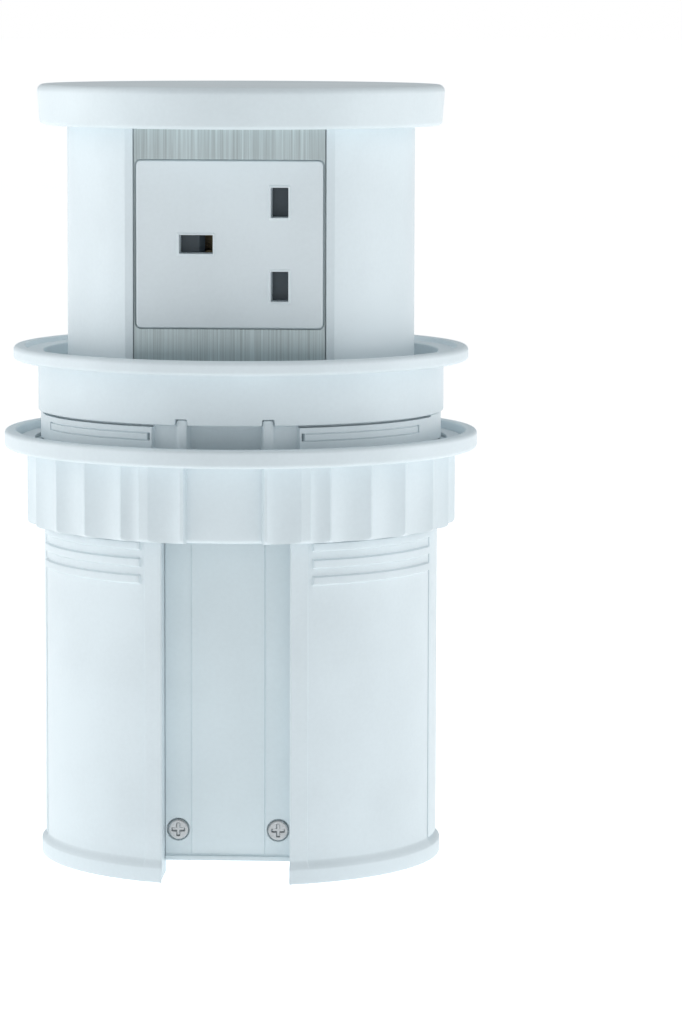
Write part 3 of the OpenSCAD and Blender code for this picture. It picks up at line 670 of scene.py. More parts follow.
def shell_body(s):
    """Right shell: its plan carried up, pushed out at the rim and the thread, in at the side strip."""
    low, high = span("right_shell")
    rim_z, rim = low[2] + 5, high[0]
    outer, inner = shell_plan(s)
    radius = np.linalg.norm(outer, axis=1)
    away = fold(np.degrees(np.arctan2(outer[:, 0], -outer[:, 1])))
    half = s["channel_w"] / 2
    first_z, crest_half, crest_soft, fillet = -55.2, 1.1, 0.5, 1.3
    strip_depth, strip_start, past_side, wall_end = 0.8, SHELL_ANGLES[2], 91, 45
    thread_z = first_z + s["thread_pitch"] * np.arange(int(s["thread_turns"]))
    marks = [rim_z - fillet, rim_z, rim_z + 0.7, rim_z + fillet,
             *(thread_z - crest_half), *(thread_z + crest_half)]
    rows = np.unique(np.concatenate((
        lines(low[2], high[2], 6, marks, crest_soft), edge_lines(low[2], high[2], s["edge"]))))[:, None]
    at_rim = 1 - smooth((rows - rim_z + fillet) / (2 * fillet))
    push = np.clip(rim - radius, 0, 3) * at_rim
    is_round = radius > 50
    turns = band(away, *SHELL_ANGLES[:2], 0.4) * is_round
    crest = band(rows[..., None], thread_z - crest_half, thread_z + crest_half, crest_soft).max(axis=-1)
    push = push + np.clip(s["shell_d"] / 2 + s["thread_rise"] - radius, 0, 1) * turns * crest
    push = push - strip_depth * band(away, strip_start, past_side, 0.35) * (1 - at_rim) * is_round
    on_wall = outer[:, 0] < half + 0.01
    push = np.where((on_wall & (np.abs(outer[:, 1]) < wall_end))[None], 0, push)
    toward = outer / radius[:, None]
    upright = np.column_stack((np.zeros(len(outer)), np.sign(outer[:, 1]) / np.abs(toward[:, 1])))
    side = 1 - smooth((outer[:, 0] - half - 0.1) / 2.5)
    toward = toward * (1 - side[:, None]) + upright * side[:, None]
    drop = edge_drop(rows, low[2], high[2], s["edge"])
    plan = outer[None] + toward[None] * push[..., None] - path_normals(outer)[None] * drop[..., None]
    foot = np.where(on_wall[None], np.maximum(rows, low[2] + 1), rows)
    front = np.dstack((plan, np.broadcast_to(foot, plan.shape[:2])))
    back = np.dstack((np.broadcast_to(inner[None], plan.shape), np.broadcast_to(foot, plan.shape[:2])))
    return slab(front, back)


def arc_plate(radius, depth, start, stop, low, high, edge):
    """Curved plate between two angles, with quarter circles round all four of its edges."""
    per = radius * math.pi / 180
    rows = np.unique(np.concatenate((lines(low, high, 8), edge_lines(low, high, edge))))[:, None]
    turns = np.unique(np.concatenate((
        lines(start, stop, 2), edge_lines(start * per, stop * per, edge) / per)))[None]
    drop = np.maximum(edge_drop(rows, low, high, edge),
                      edge_drop(turns * per, start * per, stop * per, edge))
    return slab(polar(radius - drop, turns, rows), polar(radius - depth + 0 * drop, turns, rows))


def channel_panel_body():
    """Front channel panel: a flat grid, out at its middle and foot, and in at two countersinks."""
    low, high = span("front_channel_panel")
    foot_rise, foot_h, middle_rise, fold_x, soft, edge = 0.8, 1.3, 0.35, 9.8, 0.3, 0.2
    face = low[1] + foot_rise
    places, screw_z, sink_r, sink_depth, near = (-13.4, 13.4), low[2] + 8.3, 2.98, 0.7, 3.3
    x = np.unique(np.concatenate((
        lines(low[0], high[0], 2, (-fold_x, fold_x), soft), edge_lines(low[0], high[0], edge),
        *[np.linspace(place - near, place + near, 45) for place in places])))[None]
    z = np.unique(np.concatenate((
        lines(low[2], high[2], 6, (low[2] + foot_h, low[2] + 1.6), soft),
        edge_lines(low[2], high[2], edge), np.linspace(screw_z - near, screw_z + near, 45))))[:, None]
    middle = middle_rise * band(x, -fold_x, fold_x, soft) * band(z, low[2] + 1.8, high[2] + 9, soft)
    foot = foot_rise * band(z, low[2] - 9, low[2] + foot_h, soft)
    sink = sum(sink_depth * smooth((sink_r - np.hypot(x - place, z - screw_z)) / 0.25 + 0.5)
               for place in places)
    drop = np.maximum(edge_drop(x, low[0], high[0], edge), edge_drop(z, low[2], high[2], edge))
    y = face - np.maximum(middle, foot) + sink + drop
    x, z, y = np.broadcast_arrays(x, z, y)
    return slab(np.dstack((x, y, z)), np.dstack((x, np.full(x.shape, high[1]), z)))


def cross_head(radius, height, arm, edge):
    """Screw head seen from above, about the origin and facing +Z: a disc with a cross-shaped recess.

    A square grid is drawn into a disc: each coordinate times the root of one less half the
    other's square. Two crossed bands with sloped walls press the recess in.
    """
    half, soft, guard = 0.16, 0.1, np.array([0.02, 0.05, 0.1])
    across = np.unique(np.concatenate((
        lines(-1, 1, 0.12, (-half, half, -arm, arm), soft), 1 - guard, guard - 1)))
    u, v = np.meshgrid(across, across)
    x, y = u * np.sqrt(1 - v ** 2 / 2), v * np.sqrt(1 - u ** 2 / 2)
    recess = np.maximum(band(u, -half, half, soft) * band(v, -arm, arm, 0.12),
                        band(v, -half, half, soft) * band(u, -arm, arm, 0.12))
    rim = edge_drop(radius * (1 - np.hypot(x, y)), 0, 99, edge)
    top = height - rim - 0.6 * height * recess
    return slab(np.dstack((x * radius, y * radius, top)),
                np.dstack((x * radius, y * radius, np.zeros_like(x))))


def shank(radius, depth):
    """Plain shank below a screw head, facing +Z, with a rounded end."""
    profile = outline([(0, 0.2, 0), (radius, 0.2, 0.01), (radius, -depth, 0.3), (0, -depth, 0)],
                      closed=False)
    return skin(polar(profile[:, :1], np.linspace(0, 360, 25)[None], profile[:, 1:]))


def placed(body, matrix, place):
    """A body with its points turned by a matrix and moved to a place."""
    points, quads = body
    return points @ np.array(matrix, float).T + np.array(place, float), quads


# Turns of a screw that faces +Z, and the reach of its recess as a share of the head's radius
FACING_FRONT = ((1, 0, 0), (0, 0, -1), (0, 1, 0))
FACING_REAR = ((-1, 0, 0), (0, 0, 1), (0, 1, 0))
FACING_DOWN = ((1, 0, 0), (0, -1, 0), (0, 0, -1))
RECESS_ARM = 0.62


def channel_screw_bodies():
    """Countersunk screws of both channel panels."""
    low, high = span("channel_panel_screws")
    radius = (high[2] - low[2]) / 2
    z = (high[2] + low[2]) / 2
    x = high[0] - radius
    height = 1.1
    under = low[1] + height
    made = []
    for matrix, y in ((FACING_FRONT, under), (FACING_REAR, -under)):
        for side in (-1, 1):
            place = (side * x, y, z)
            made.append(placed(cross_head(radius, height, RECESS_ARM, 0.35), matrix, place))
            made.append(placed(shank(1.3, 7), matrix, place))
    return made


def base_screw_bodies():
    """Pan head screws under the base plate."""
    low, high = span("base_screws")
    radius, height = 2.8, 1.6
    ring = high[0] - radius
    made = []
    for side in (-1, 1):
        for other in (-1, 1):
            place = (side * ring, other * ring, low[2] + height)
            made.append(placed(cross_head(radius, height, RECESS_ARM, 0.6), FACING_DOWN, place))
            made.append(placed(shank(1.25, 12), FACING_DOWN, place))
    return made


# ---- Lock ring ----

def grip_radius(degrees, s):
    """Radius of the fluted grip: the least of the grip's and each flute's circle.

    A flute is a cylinder whose middle lies outside the grip. Seen from the ring's axis, its near
    side is the middle's distance times the cosine, less the root of its radius squared less the
    distance times the sine, squared.
    """
    grip = s["grip_d"] / 2
    away = fold(degrees)
    reach = np.full(away.shape, grip)
    for start, stop, depth in FLUTES:
        half = math.radians((stop - start) / 2)
        rise = depth - grip * (1 - math.cos(half))
        cut = ((grip * math.sin(half)) ** 2 + rise ** 2) / (2 * rise)
        centre = grip - depth + cut
        turn = np.radians(away - (start + stop) / 2)
        under = cut ** 2 - (centre * np.sin(turn)) ** 2
        near = centre * np.cos(turn) - np.sqrt(np.clip(under, 0, None))
        reach = np.where((under > 0) & (np.abs(turn) < half * 1.3), np.minimum(reach, near), reach)
    return reach


def lock_ring_body(s):
    """Lock ring: a dished profile turned about the axis, with flutes, plain panels and inner turns."""
    low, high = span("lock_ring")
    top, bottom, flange = high[2], low[2], high[0]
    grip, bore, dish = s["grip_d"] / 2, s["ring_bore_d"] / 2, s["dish_d"] / 2
    flange_z, floor_z, edge = top - 4.9, top - s["dish_depth"], 1.2
    rows = np.unique(np.concatenate((
        lines(bottom + edge, flange_z - 0.02, 2.6, (flange_z - 0.9,), 0.3),
        bottom + edge * (1 - np.sin(np.radians(np.linspace(0, 90, 7)))))))
    fall = edge - np.sqrt(np.clip(edge ** 2 - np.clip(bottom + edge - rows, 0, edge) ** 2, 0, None))
    wall = np.column_stack((grip - fall, rows))
    rest = outline([
        (grip, flange_z, 0.01), (flange, flange_z, 1), (flange, top, 1), (dish + 0.5, top, 0.6),
        (dish, floor_z, 0.3), (bore, floor_z, 0.45), (bore, bottom + 3, 0.01)], closed=False)[:-1]
    first_z, crest_half, soft, panel_depth = -39.45, 0.9, 0.3, 2.1
    turn_z = first_z + s["thread_pitch"] * np.arange(3)
    marks = [*(turn_z - crest_half), *(turn_z + crest_half)]
    heights = lines(bottom + 0.62, rest[-1, 1] - 0.1, 2.5, marks, soft)[::-1]
    crest = sum(band(heights, z - crest_half, z + crest_half, soft) for z in turn_z)
    inside = np.column_stack((bore - 0.5 * crest, heights))
    profile = np.concatenate((wall, rest, inside, [[bore + 0.6, bottom]], wall[:1]))
    edges = [mark for flute in FLUTES for mark in flute[:2]]
    turns = lines(0, 360, 0.8, all_round([s["grip_panel"], *edges]), soft)
    is_grip = np.zeros((len(profile), 1))
    is_grip[:len(wall) + 2] = 1
    is_grip[-1] = 1
    fluted = np.minimum(profile[:, :1], grip_radius(turns, s)[None] + 0 * profile[:, :1])
    panel = panel_depth * band(fold(turns), -1, s["grip_panel"], soft)[None] * (profile[:, 1:] < top)
    reach = np.where(is_grip > 0, np.minimum(fluted, profile[:, :1] - panel), profile[:, :1])
    return [skin(polar(reach, turns[None], profile[:, 1:]))]


def washer_body():
    """Slip washer: a flat ring with rounded edges."""
    low, high = span("slip_washer")
    bore, edge = 56.4, 0.25
    profile = outline([(bore, low[2], edge), (high[0], low[2], edge), (high[0], high[2], edge),
                       (bore, high[2], edge)])
    return [skin(polar(profile[:, :1], np.linspace(0, 360, 181)[None], profile[:, 1:]))]


# ---- Column ----

def cap_body():
    """Cap: a hollow lid with rounded edges and a slight taper, turned about the axis."""
    low, high = span("cap")
    top = high[0]
    inside, taper, thick = 52.9, 0.8, 2.5
    profile = outline([
        (0, high[2], 0), (top, high[2], 1.8), (top - taper, low[2], 1.1), (inside, low[2], 0.2),
        (inside, high[2] - thick, 0.5), (0, high[2] - thick, 0)], closed=False, steps=9)
    profile[[0, -1], 0] = 0
    rings = np.linspace(0, 1, 12)[1:-1, None]
    crown = profile[0] + (profile[1] - profile[0]) * rings
    profile = np.concatenate((profile[:1], crown, profile[1:]))
    return [skin(polar(profile[:, :1], np.linspace(0, 360, 241)[None], profile[:, 1:]))]


def column_shell_body(s):
    """Right half of the column: rebate, bevel and round side, with lips behind the face plates."""
    low, high = span("column_right_shell")
    plate_low, plate_high = span("front_face_plate")
    radius, face = high[0], -plate_low[1]
    rebate_x, rebate_y = plate_high[0] + 0.15, -plate_high[1] - 0.1
    bevel_x = rebate_x + s["bevel_w"]
    inside = radius - s["wall"]

    def on(r, x):
        return -math.sqrt(r ** 2 - x ** 2)

    start = math.degrees(math.asin(bevel_x / radius)) + 0.5
    front = outline([
        (low[0], -rebate_y, 0), (rebate_x, -rebate_y, 0.1), (rebate_x, -face, 0.22),
        (bevel_x, on(radius, bevel_x), 0.3), (*circle_path(radius, start, start, 1)[0], 0)],
        closed=False)
    outer = np.concatenate((front, circle_path(radius, start + 0.3, 90, 2)))
    own = np.degrees(np.arctan2(outer[:, 0], -outer[:, 1]))
    lip_t = 1.7
    lip_end = math.degrees(math.acos((rebate_y - lip_t) / inside))
    inner = circle_path(inside, 0, 1, 1)[:1] * np.ones((len(outer), 1))
    inner[:, 0] = inside * np.sin(np.radians(np.maximum(own, lip_end)))
    inner[:, 1] = -inside * np.cos(np.radians(np.maximum(own, lip_end)))
    lip = outer[:, 1] > -rebate_y - 0.01
    inner[lip] = outer[lip] + (0, lip_t)
    flip = np.array([1, -1])
    outer = np.concatenate((outer, outer[-2::-1] * flip))
    inner = np.concatenate((inner, inner[-2::-1] * flip))
    rows = np.unique(np.concatenate((lines(low[2], high[2], 6), edge_lines(low[2], high[2], 0.3))))
    drop = edge_drop(rows, low[2], high[2], 0.3)[:, None, None]
    plan = outer[None] - path_normals(outer)[None] * drop
    up = np.broadcast_to(rows[:, None], plan.shape[:2])
    return slab(np.dstack((plan, up)), np.dstack((np.broadcast_to(inner[None], plan.shape), up)))


def face_plate_body(s):
    """Front face plate: a small rounded section carried round the window out to the plate's edge."""
    low, high = span("front_face_plate")
    cover_low, cover_high = span("front_socket_cover")
    gap, corner = s["window_gap"], 1.4
    middle = (cover_low[2] + cover_high[2]) / 2
    half_x, half_z = cover_high[0] + gap - corner, (cover_high[2] - cover_low[2]) / 2 + gap - corner
    turn = np.radians(np.linspace(0, 360, 33)[:-1].reshape(4, 8))
    turn = np.concatenate((turn, turn[:, -1:] + math.radians(11.25)), axis=1)
    c, n = np.cos(turn), np.sin(turn)
    sign_x, sign_z = np.array([[1], [-1], [-1], [1]]), np.array([[1], [1], [-1], [-1]])
    near = np.stack((sign_x * half_x + corner * c, middle + sign_z * half_z + corner * n), axis=-1)
    most = np.maximum(np.abs(c), np.abs(n))
    side_z = np.where(sign_z > 0, high[2] - middle - half_z, middle - half_z - low[2])
    far = np.stack((sign_x * half_x + (high[0] - half_x) * c / most,
                    middle + sign_z * half_z + side_z * n / most), axis=-1)
    near, far = near.reshape(-1, 2), far.reshape(-1, 2) * (1 - 0.1 / high[0], 1)
    near, far = np.concatenate((near, near[:1])), np.concatenate((far, far[:1]))
    way = (far - near) / np.linalg.norm(far - near, axis=1, keepdims=True)
    face, edge = low[1], 0.14
    swing = np.radians(np.linspace(0, 90, 5))
    inset, level = edge * (1 - np.cos(swing)), face + edge * (1 - np.sin(swing))
    guard = edge + 0.05
    rows = [(near, high[1])]
    rows += [(near + way * d, y) for d, y in zip(inset, level)]
    rows += [(near + way * guard, face), (far - way * guard, face)]
    rows += [(far - way * d, y) for d, y in zip(inset[::-1], level[::-1])]
    rows += [(far, high[1]), (near, high[1])]
    grid = np.stack([np.column_stack((p[:, 0], np.full(len(p), y), p[:, 1])) for p, y in rows])
    return skin(grid)


def slot_places():
    """The cover's three slots as (x, height above the middle, width, height)."""
    earth_x, pitch = -8.9, 22.2
    return ((earth_x, 0, 8.8, 4.8), (earth_x + pitch, pitch / 2, 4.5, 7.8),
            (earth_x + pitch, -pitch / 2, 4.5, 7.8))


def socket_cover_body(s):
    """Front socket cover: a grid pushed out at the slots' rims and deep in at the slots.

    The corners are rounded by drawing their square of grid lines into a quarter disc. The back
    follows the front with each slot grown by the chimney's wall.
    """
    low, high = span("front_socket_cover")
    middle, half_z, half_x = (low[2] + high[2]) / 2, (high[2] - low[2]) / 2, high[0]
    face, corner, wall, thick = low[1] + s["rim_rise"], 1.3, 0.8, 1.5
    deep, edge, rim_w, rim_soft, soft = 4.75, 0.32, 0.55, 0.25, 0.22
    slots = slot_places()
    x_edges = sorted({x + side * w / 2 for x, _, w, _ in slots for side in (-1, 1)})
    z_edges = sorted({z + side * h / 2 for _, z, _, h in slots for side in (-1, 1)})
    rims = [[line + side * 0.62 for line in edges for side in (-1, 1)] for edges in (x_edges, z_edges)]
    xs, zs = [np.unique(np.concatenate((
        lines(-half, half, 1.6, list(edges) + rim, soft), edge_lines(-half, half, edge),
        np.linspace(half - corner, half, 7), -np.linspace(half - corner, half, 7))))
        for half, edges, rim in ((half_x, x_edges, rims[0]), (half_z, z_edges, rims[1]))]
    x, z = np.meshgrid(xs, zs)
    hole = sum(band(x, cx - w / 2, cx + w / 2, soft) * band(z, cz - h / 2, cz + h / 2, soft)
               for cx, cz, w, h in slots)
    rim = sum(band(x, cx - w / 2 - rim_w, cx + w / 2 + rim_w, rim_soft)
              * band(z, cz - h / 2 - rim_w, cz + h / 2 + rim_w, rim_soft) for cx, cz, w, h in slots)
    drop = np.maximum(edge_drop(x, -half_x, half_x, edge), edge_drop(z, -half_z, half_z, edge))
    y = face - s["rim_rise"] * rim * (1 - hole) + deep * hole + drop

    def rounded(value, half, other, other_half):
        u = np.clip(np.abs(value) - half + corner, 0, None) / corner
        v = np.clip(np.abs(other) - other_half + corner, 0, None) / corner
        return value - np.sign(value) * corner * u * (1 - np.sqrt(1 - v ** 2 / 2))

    round_x, round_z = rounded(x, half_x, z, half_z), rounded(z, half_z, x, half_x)
    front = np.dstack((round_x, y, round_z + middle))

    def grown(value, edges):
        shift = np.array([-wall, wall] * (len(edges) // 2))
        known = np.array([-99, *edges, 99])
        return np.interp(value, known, np.array([-99, *(np.array(edges) + shift), 99]))

    back_x, back_z = grown(round_x, x_edges), grown(round_z, z_edges)
    back = np.dstack((back_x, face + thick + (deep - thick) * hole, back_z + middle))
    centre = (hole[:-1, :-1] + hole[1:, 1:] + hole[:-1, 1:] + hole[1:, :-1]) / 4
    return slab(front, back, centre < 0.97)


def coil_body(node, axis, wire, turns):
    """Coil of round wire that fills the node's box along one axis, and the coil's length.

    The wire's middle line turns about the axis at the coil's radius while it advances evenly. The
    wire's circle is spanned by the outward direction and the line's other normal at each point.
    """
    low, high = span(node)
    one, two = (axis + 1) % 3, (axis + 2) % 3
    middle = (low + high) / 2
    radius = max(high[one] - low[one], high[two] - low[two]) / 2 - wire
    share = np.linspace(0, 1, int(turns * 40) + 1)
    angle = 2 * np.pi * turns * share
    advance = high[axis] - low[axis] - 2 * wire
    outward, along, ahead = np.zeros((3, len(share), 3))
    outward[:, one], outward[:, two] = np.cos(angle), np.sin(angle)
    along[:, one], along[:, two] = -np.sin(angle), np.cos(angle)
    ahead[:, axis] = 1
    slope = math.atan2(advance, 2 * np.pi * turns * radius)
    across = ahead * math.cos(slope) - along * math.sin(slope)
    line = middle + outward * radius + ahead * ((share - 0.5) * advance)[:, None]
    ring = np.radians(np.linspace(0, 360, 17))[:, None, None]
    tube = line[None] + wire * (np.cos(ring) * outward[None] + np.sin(ring) * across[None])
    return closed_ends(tube), high[axis] - low[axis]


# ---- Operators ----

class TOWER_OT_collar(bpy.types.Operator):
    """Collar that rests on the worktop"""

    bl_idname = "tower.collar"
    bl_label = "Collar"

    def execute(self, context):
        """One moulding."""
        piece("collar_moulding", collar_body(sizes()), "housing", "white_plastic", "collar")
        return {"FINISHED"}


class TOWER_OT_head_ring(bpy.types.Operator):
    """Head ring with its key ribs and snap latches, and the guide bush inside it"""

    bl_idname = "tower.head_ring"
    bl_label = "Head ring and guide"

    def execute(self, context):
        """Two mouldings."""
        piece("head_ring_moulding", head_ring_body(sizes()), "housing", "white_plastic", "head_ring")
        softened("guide_bush", "guide_bush_moulding", 0.3, "housing", "guide_plastic")
        return {"FINISHED"}


class TOWER_OT_shells(bpy.types.Operator):
    """Tube's two shells and the strips let into their sides"""

    bl_idname = "tower.shells"
    bl_label = "Shells and side strips"

    def execute(self, context):
        """Right pieces, and the same turned half round for the left."""
        low, high = span("right_side_strip")
        thick, gap, edge = 0.95, 0.25, 0.25
        start, stop = SHELL_ANGLES[2] + gap, SHELL_ANGLES[3] - gap
        strip = arc_plate(high[0], thick, start, stop, low[2], high[2], edge)
        shell = shell_body(sizes())
        for side in ("right", "left"):
            sided(shell, side, f"{side}_shell", "moulding", "housing", "tube_plastic")
            sided(strip, side, f"{side}_side_strip", "moulding", "housing", "strip_plastic")
        return {"FINISHED"}


class TOWER_OT_channels(bpy.types.Operator):
    """Channel panels and the screws that hold them"""

    bl_idname = "tower.channels"
    bl_label = "Channel panels and screws"

    def execute(self, context):
        """Front panel, the same turned half round, and four screws."""
        panel = channel_panel_body()
        for side in ("front", "rear"):
            sided(panel, side, f"{side}_channel_panel", "moulding", "housing", "panel_plastic")
        piece("channel_panel_screw_set", channel_screw_bodies(), "housing", "screw_steel",
              "channel_panel_screws")
        return {"FINISHED"}


class TOWER_OT_underside(bpy.types.Operator):
    """Base plate with its screws, and the cord's gland"""

    bl_idname = "tower.underside"
    bl_label = "Base plate and gland"

    def execute(self, context):
        """Plate, screws and gland."""
        softened("base_plate", "base_plate_moulding", 0.25, "housing", "panel_plastic")
        piece("base_screw_set", base_screw_bodies(), "housing", "screw_steel", "base_screws")
        softened("gland_body", "gland_body_moulding", 0.3, "housing", "grey_plastic")
        softened("gland_seal", "gland_seal_moulding", 0.3, "housing", "seal_rubber")
        return {"FINISHED"}


class TOWER_OT_lock_ring(bpy.types.Operator):
    """Lock ring and the loose washer in its dish"""

    bl_idname = "tower.lock_ring"
    bl_label = "Lock ring and washer"

    def execute(self, context):
        """Ring nut and washer."""
        piece("lock_ring_moulding", lock_ring_body(sizes()), "lock_ring", "ring_plastic", "lock_ring")
        piece("slip_washer_moulding", washer_body(), "washer", "guide_plastic", "slip_washer")
        return {"FINISHED"}


class TOWER_OT_cap(bpy.types.Operator):
    """Cap on the column and the disc that carries it"""

    bl_idname = "tower.cap"
    bl_label = "Cap and carrier"

    def execute(self, context):
        """Lid and carrier."""
        piece("cap_moulding", cap_body(), "column", "cap_plastic", "cap")
        softened("cap_carrier", "cap_carrier_moulding", 0.25, "column", "panel_plastic")
        return {"FINISHED"}


class TOWER_OT_column(bpy.types.Operator):
    """Column's two shells and its sliding base"""

    bl_idname = "tower.column"
    bl_label = "Column"

    def execute(self, context):
        """Right shell, the same turned half round, and the base."""
        shell = column_shell_body(sizes())
        for side in ("right", "left"):
            sided(shell, side, f"column_{side}_shell", "moulding", "column", "white_plastic")
        softened("column_base", "column_base_moulding", 0.3, "column", "panel_plastic")
        return {"FINISHED"}


class TOWER_OT_face_plates(bpy.types.Operator):
    """Brushed plates on the column's flat faces"""

    bl_idname = "tower.face_plates"
    bl_label = "Face plates"

    def execute(self, context):
        """Front plate, and the same turned half round."""
        plate = face_plate_body(sizes())
        for side in ("front", "rear"):
            sided(plate, side, f"{side}_face_plate", "sheet", "column", "brushed_aluminium")
        return {"FINISHED"}


class TOWER_OT_sockets(bpy.types.Operator):
    """Socket covers with their slots, and the shutters behind them"""

    bl_idname = "tower.sockets"
    bl_label = "Socket covers and shutters"

    def execute(self, context):
        """Front cover and shutter, and the same at the rear."""
        cover = socket_cover_body(sizes())
        for side in ("front", "rear"):
            sided(cover, side, f"{side}_socket_cover", "moulding", "column", "cover_plastic")
            shutter = f"{side}_shutter"
            softened(shutter, f"{shutter}_moulding", 0.12, shutter, "shutter_plastic")
        return {"FINISHED"}


class TOWER_OT_coils(bpy.types.Operator):
    """Shutter springs and the coiled inner lead"""

    bl_idname = "tower.coils"
    bl_label = "Springs and inner lead"

    def execute(self, context):
        """Each coil fills its node's box and takes a mesh of its own."""
        s = sizes()
        for side, end in (("front", 0), ("rear", 1)):
            node, joint = f"{side}_shutter_spring", f"{side}_shutter_slide"
            body, long = coil_body(node, 0, s["spring_wire"] / 2, s["spring_turns"])
            spring = piece(f"{node}_coil", [body], "column", "spring_steel", node)
            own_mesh(spring)
        body, long = coil_body("inner_lead", 2, s["lead_d"] / 2, s["lead_turns"])
        lead = piece("inner_lead_coil", [body], "housing", "lead_jacket", "inner_lead")
        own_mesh(lead)
        return {"FINISHED"}


class TOWER_OT_inner_parts(bpy.types.Operator):
    """Finishes of the inner parts, which keep the frame's own shapes"""

    bl_idname = "tower.inner_parts"
    bl_label = "Inner parts"

    def execute(self, context):
        """Each slot's nodes take the slot's finish."""
        nodes = {
            "grey_plastic": ("gland_nut", "cord_clamp", "terminal_block", "front_socket_body",
                             "rear_socket_body"),
            "screw_steel": ("cord_clamp_screws", "terminal_screws", "cap_screws", "column_top_screws",
                            "column_base_screws"),
            "contact_brass": tuple(f"{side}_{pole}_contact" for side in ("front", "rear")
                                   for pole in ("earth", "line", "neutral")),
            "pad_felt": ("felt_pads",),
        }
        for slot, names in nodes.items():
            for name in names:
                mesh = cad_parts[name].data
                mesh.materials.clear()
                mesh.materials.append(finish_for(slot))
        return {"FINISHED"}


class TOWER_OT_stage(bpy.types.Operator):
    """Pale floor, soft studio light and the camera"""

    bl_idname = "tower.stage"
    bl_label = "Stage"

    def execute(self, context):
        """Floor, lights, surroundings and camera."""
        stage_floor()
        softbox("left_softbox", (-950, 40, 330), (0, 0, 0), (900, 1100), 4.2)
        softbox("right_softbox", (950, 60, 260), (0, 0, 0), (700, 1000), 2.8)
        softbox("top_softbox", (0, 150, 1100), (0, 0, 0), (1100, 1100), 1.2)
        surroundings()
        camera()
        bpy.context.scene.view_settings.view_transform = "Standard"
        return {"FINISHED"}


def stage_floor():
    """Pale round flat floor at the foot of the tower: a grid of rings."""
    low = span("right_shell")[0][2]
    radius = np.array([0, 60, 120, 200, 400, 900, 2000, 5000, 12000, 30000.])[:, None]
    points, quads = skin(polar(radius, np.linspace(0, 360, 97)[None], low + 0 * radius))
    mesh = bpy.data.meshes.new("floor")
    mesh.from_pydata((points * MM).tolist(), [], quads.tolist())
    tidy_mesh(mesh)
    made, tree, shader = blank_finish("floor_paint")
    drift = between(tree, noise(tree, 3, detail=2), 0, 1)
    tint(tree, shader, drift, (0.8, 0.81, 0.82), (0.84, 0.85, 0.86))
    shader.inputs["Roughness"].default_value = 0.9
    shader.inputs["Emission Color"].default_value = (1, 1, 1, 1)
    shader.inputs["Emission Strength"].default_value = 0.68
    floor = bpy.data.objects.new("floor", mesh)
    mesh.materials.append(made)
    bpy.context.scene.collection.objects.link(floor)


def softbox(name, place, target, size, watts):
    """Rectangular lamp at a place, facing a target; lengths in millimetres."""
    lamp = bpy.data.lights.new(name, "AREA")
    lamp.shape = "RECTANGLE"
    lamp.size, lamp.size_y = size[0] * MM, size[1] * MM
    lamp.energy = watts
    made = bpy.data.objects.new(name, lamp)
    bpy.context.scene.collection.objects.link(made)
    made.location = Vector(place) * MM
    made.rotation_euler = (Vector(target) - Vector(place)).to_track_quat("-Z", "Y").to_euler()


def surroundings():
    """White seen directly, and a dimmer white as the light that reaches the tower."""
    world = bpy.data.worlds.new("surroundings")
    bpy.context.scene.world = world
    world.use_nodes = True
    tree = world.node_tree
    tree.nodes.clear()
    output = tree.nodes.new("ShaderNodeOutputWorld")
    seen, lit = tree.nodes.new("ShaderNodeBackground"), tree.nodes.new("ShaderNodeBackground")
    seen.inputs["Color"].default_value = (1, 1, 1, 1)
    lit.inputs["Color"].default_value = (0.93, 0.97, 1, 1)
    lit.inputs["Strength"].default_value = 0.42
    mix, path = tree.nodes.new("ShaderNodeMixShader"), tree.nodes.new("ShaderNodeLightPath")
    tree.links.new(path.outputs["Is Camera Ray"], mix.inputs["Fac"])
    tree.links.new(lit.outputs["Background"], mix.inputs[1])
    tree.links.new(seen.outputs["Background"], mix.inputs[2])
    tree.links.new(mix.outputs["Shader"], output.inputs["Surface"])


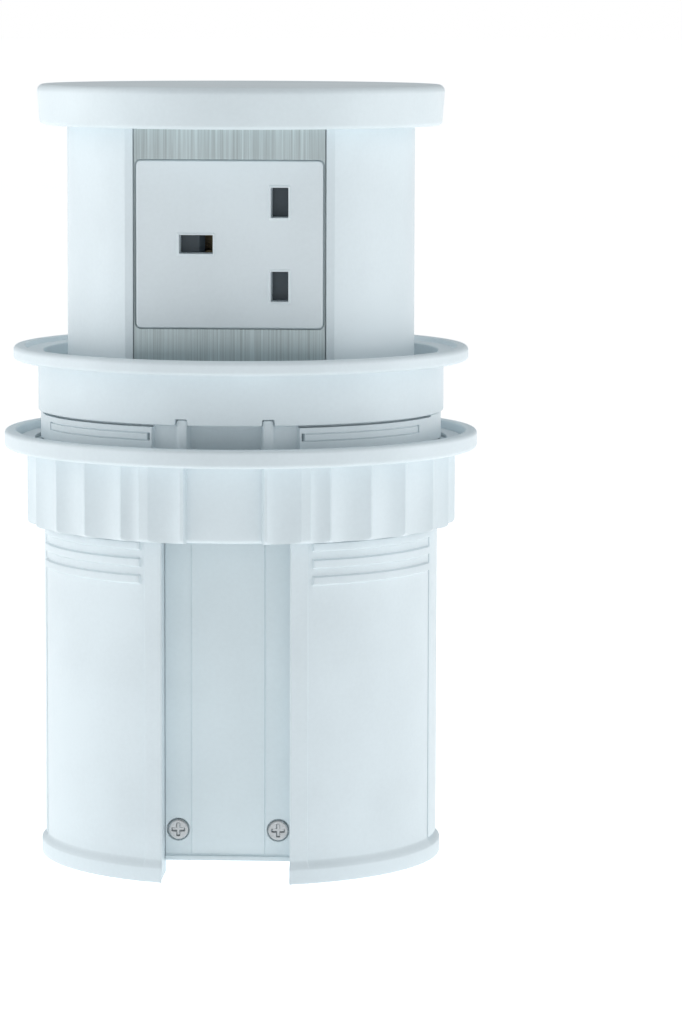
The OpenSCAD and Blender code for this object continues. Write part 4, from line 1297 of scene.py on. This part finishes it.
def camera():
    """Long lens, a little to the right of the front and above the collar."""
    data = bpy.data.cameras.new("camera")
    data.sensor_fit = "AUTO"
    data.sensor_width = 36
    data.lens = 158.8
    data.clip_start, data.clip_end = 0.05, 80
    made = bpy.data.objects.new("camera", data)
    bpy.context.scene.collection.objects.link(made)
    azimuth, height, distance = math.radians(4.57), 96, 1235
    pan, tilt, roll = math.radians(1.275), math.radians(6.395), math.radians(0.15)
    made.location = Vector((math.sin(azimuth) * distance, -math.cos(azimuth) * distance, height)) * MM
    heading = azimuth - pan
    level = math.cos(tilt)
    ahead = Vector((-math.sin(heading) * level, math.cos(heading) * level, -math.sin(tilt)))
    turn = ahead.to_track_quat("-Z", "Y").to_matrix() @ Matrix.Rotation(roll, 3, "Z")
    made.rotation_euler = turn.to_euler()
    bpy.context.scene.camera = made


OPERATORS = (
    TOWER_OT_collar, TOWER_OT_head_ring, TOWER_OT_shells, TOWER_OT_channels, TOWER_OT_underside,
    TOWER_OT_lock_ring, TOWER_OT_cap, TOWER_OT_column, TOWER_OT_face_plates, TOWER_OT_sockets,
    TOWER_OT_coils, TOWER_OT_inner_parts, TOWER_OT_stage,
)


class TOWER_PT_panel(bpy.types.Panel):
    """Sidebar panel with the sizes, the colours and every operator."""

    bl_label = "Power tower"
    bl_idname = "TOWER_PT_panel"
    bl_space_type = "VIEW_3D"
    bl_region_type = "UI"
    bl_category = "Power tower"

    def draw(self, context):
        """Operators first, then the properties."""
        for operator in OPERATORS:
            self.layout.operator(operator.bl_idname)
        for group in (context.scene.tower_sizes, context.scene.tower_colours):
            column = self.layout.column()
            for name in group.bl_rna.properties.keys():
                if name not in {"rna_type", "name"}:
                    column.prop(group, name)


CLASSES = (TowerSizes, TowerColours, *OPERATORS, TOWER_PT_panel)


def register():
    """Registers the classes and hangs the property groups on the scene."""
    for item in CLASSES:
        bpy.utils.register_class(item)
    bpy.types.Scene.tower_sizes = bpy.props.PointerProperty(type=TowerSizes)
    bpy.types.Scene.tower_colours = bpy.props.PointerProperty(type=TowerColours)


def unregister():
    """Takes away what register added."""
    del bpy.types.Scene.tower_colours
    del bpy.types.Scene.tower_sizes
    for item in reversed(CLASSES):
        bpy.utils.unregister_class(item)


def main():
    """Registers the add-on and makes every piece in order."""
    register()
    for operator in OPERATORS:
        group, name = operator.bl_idname.split(".")
        getattr(getattr(bpy.ops, group), name)()


if __name__ == "__main__":
    main()
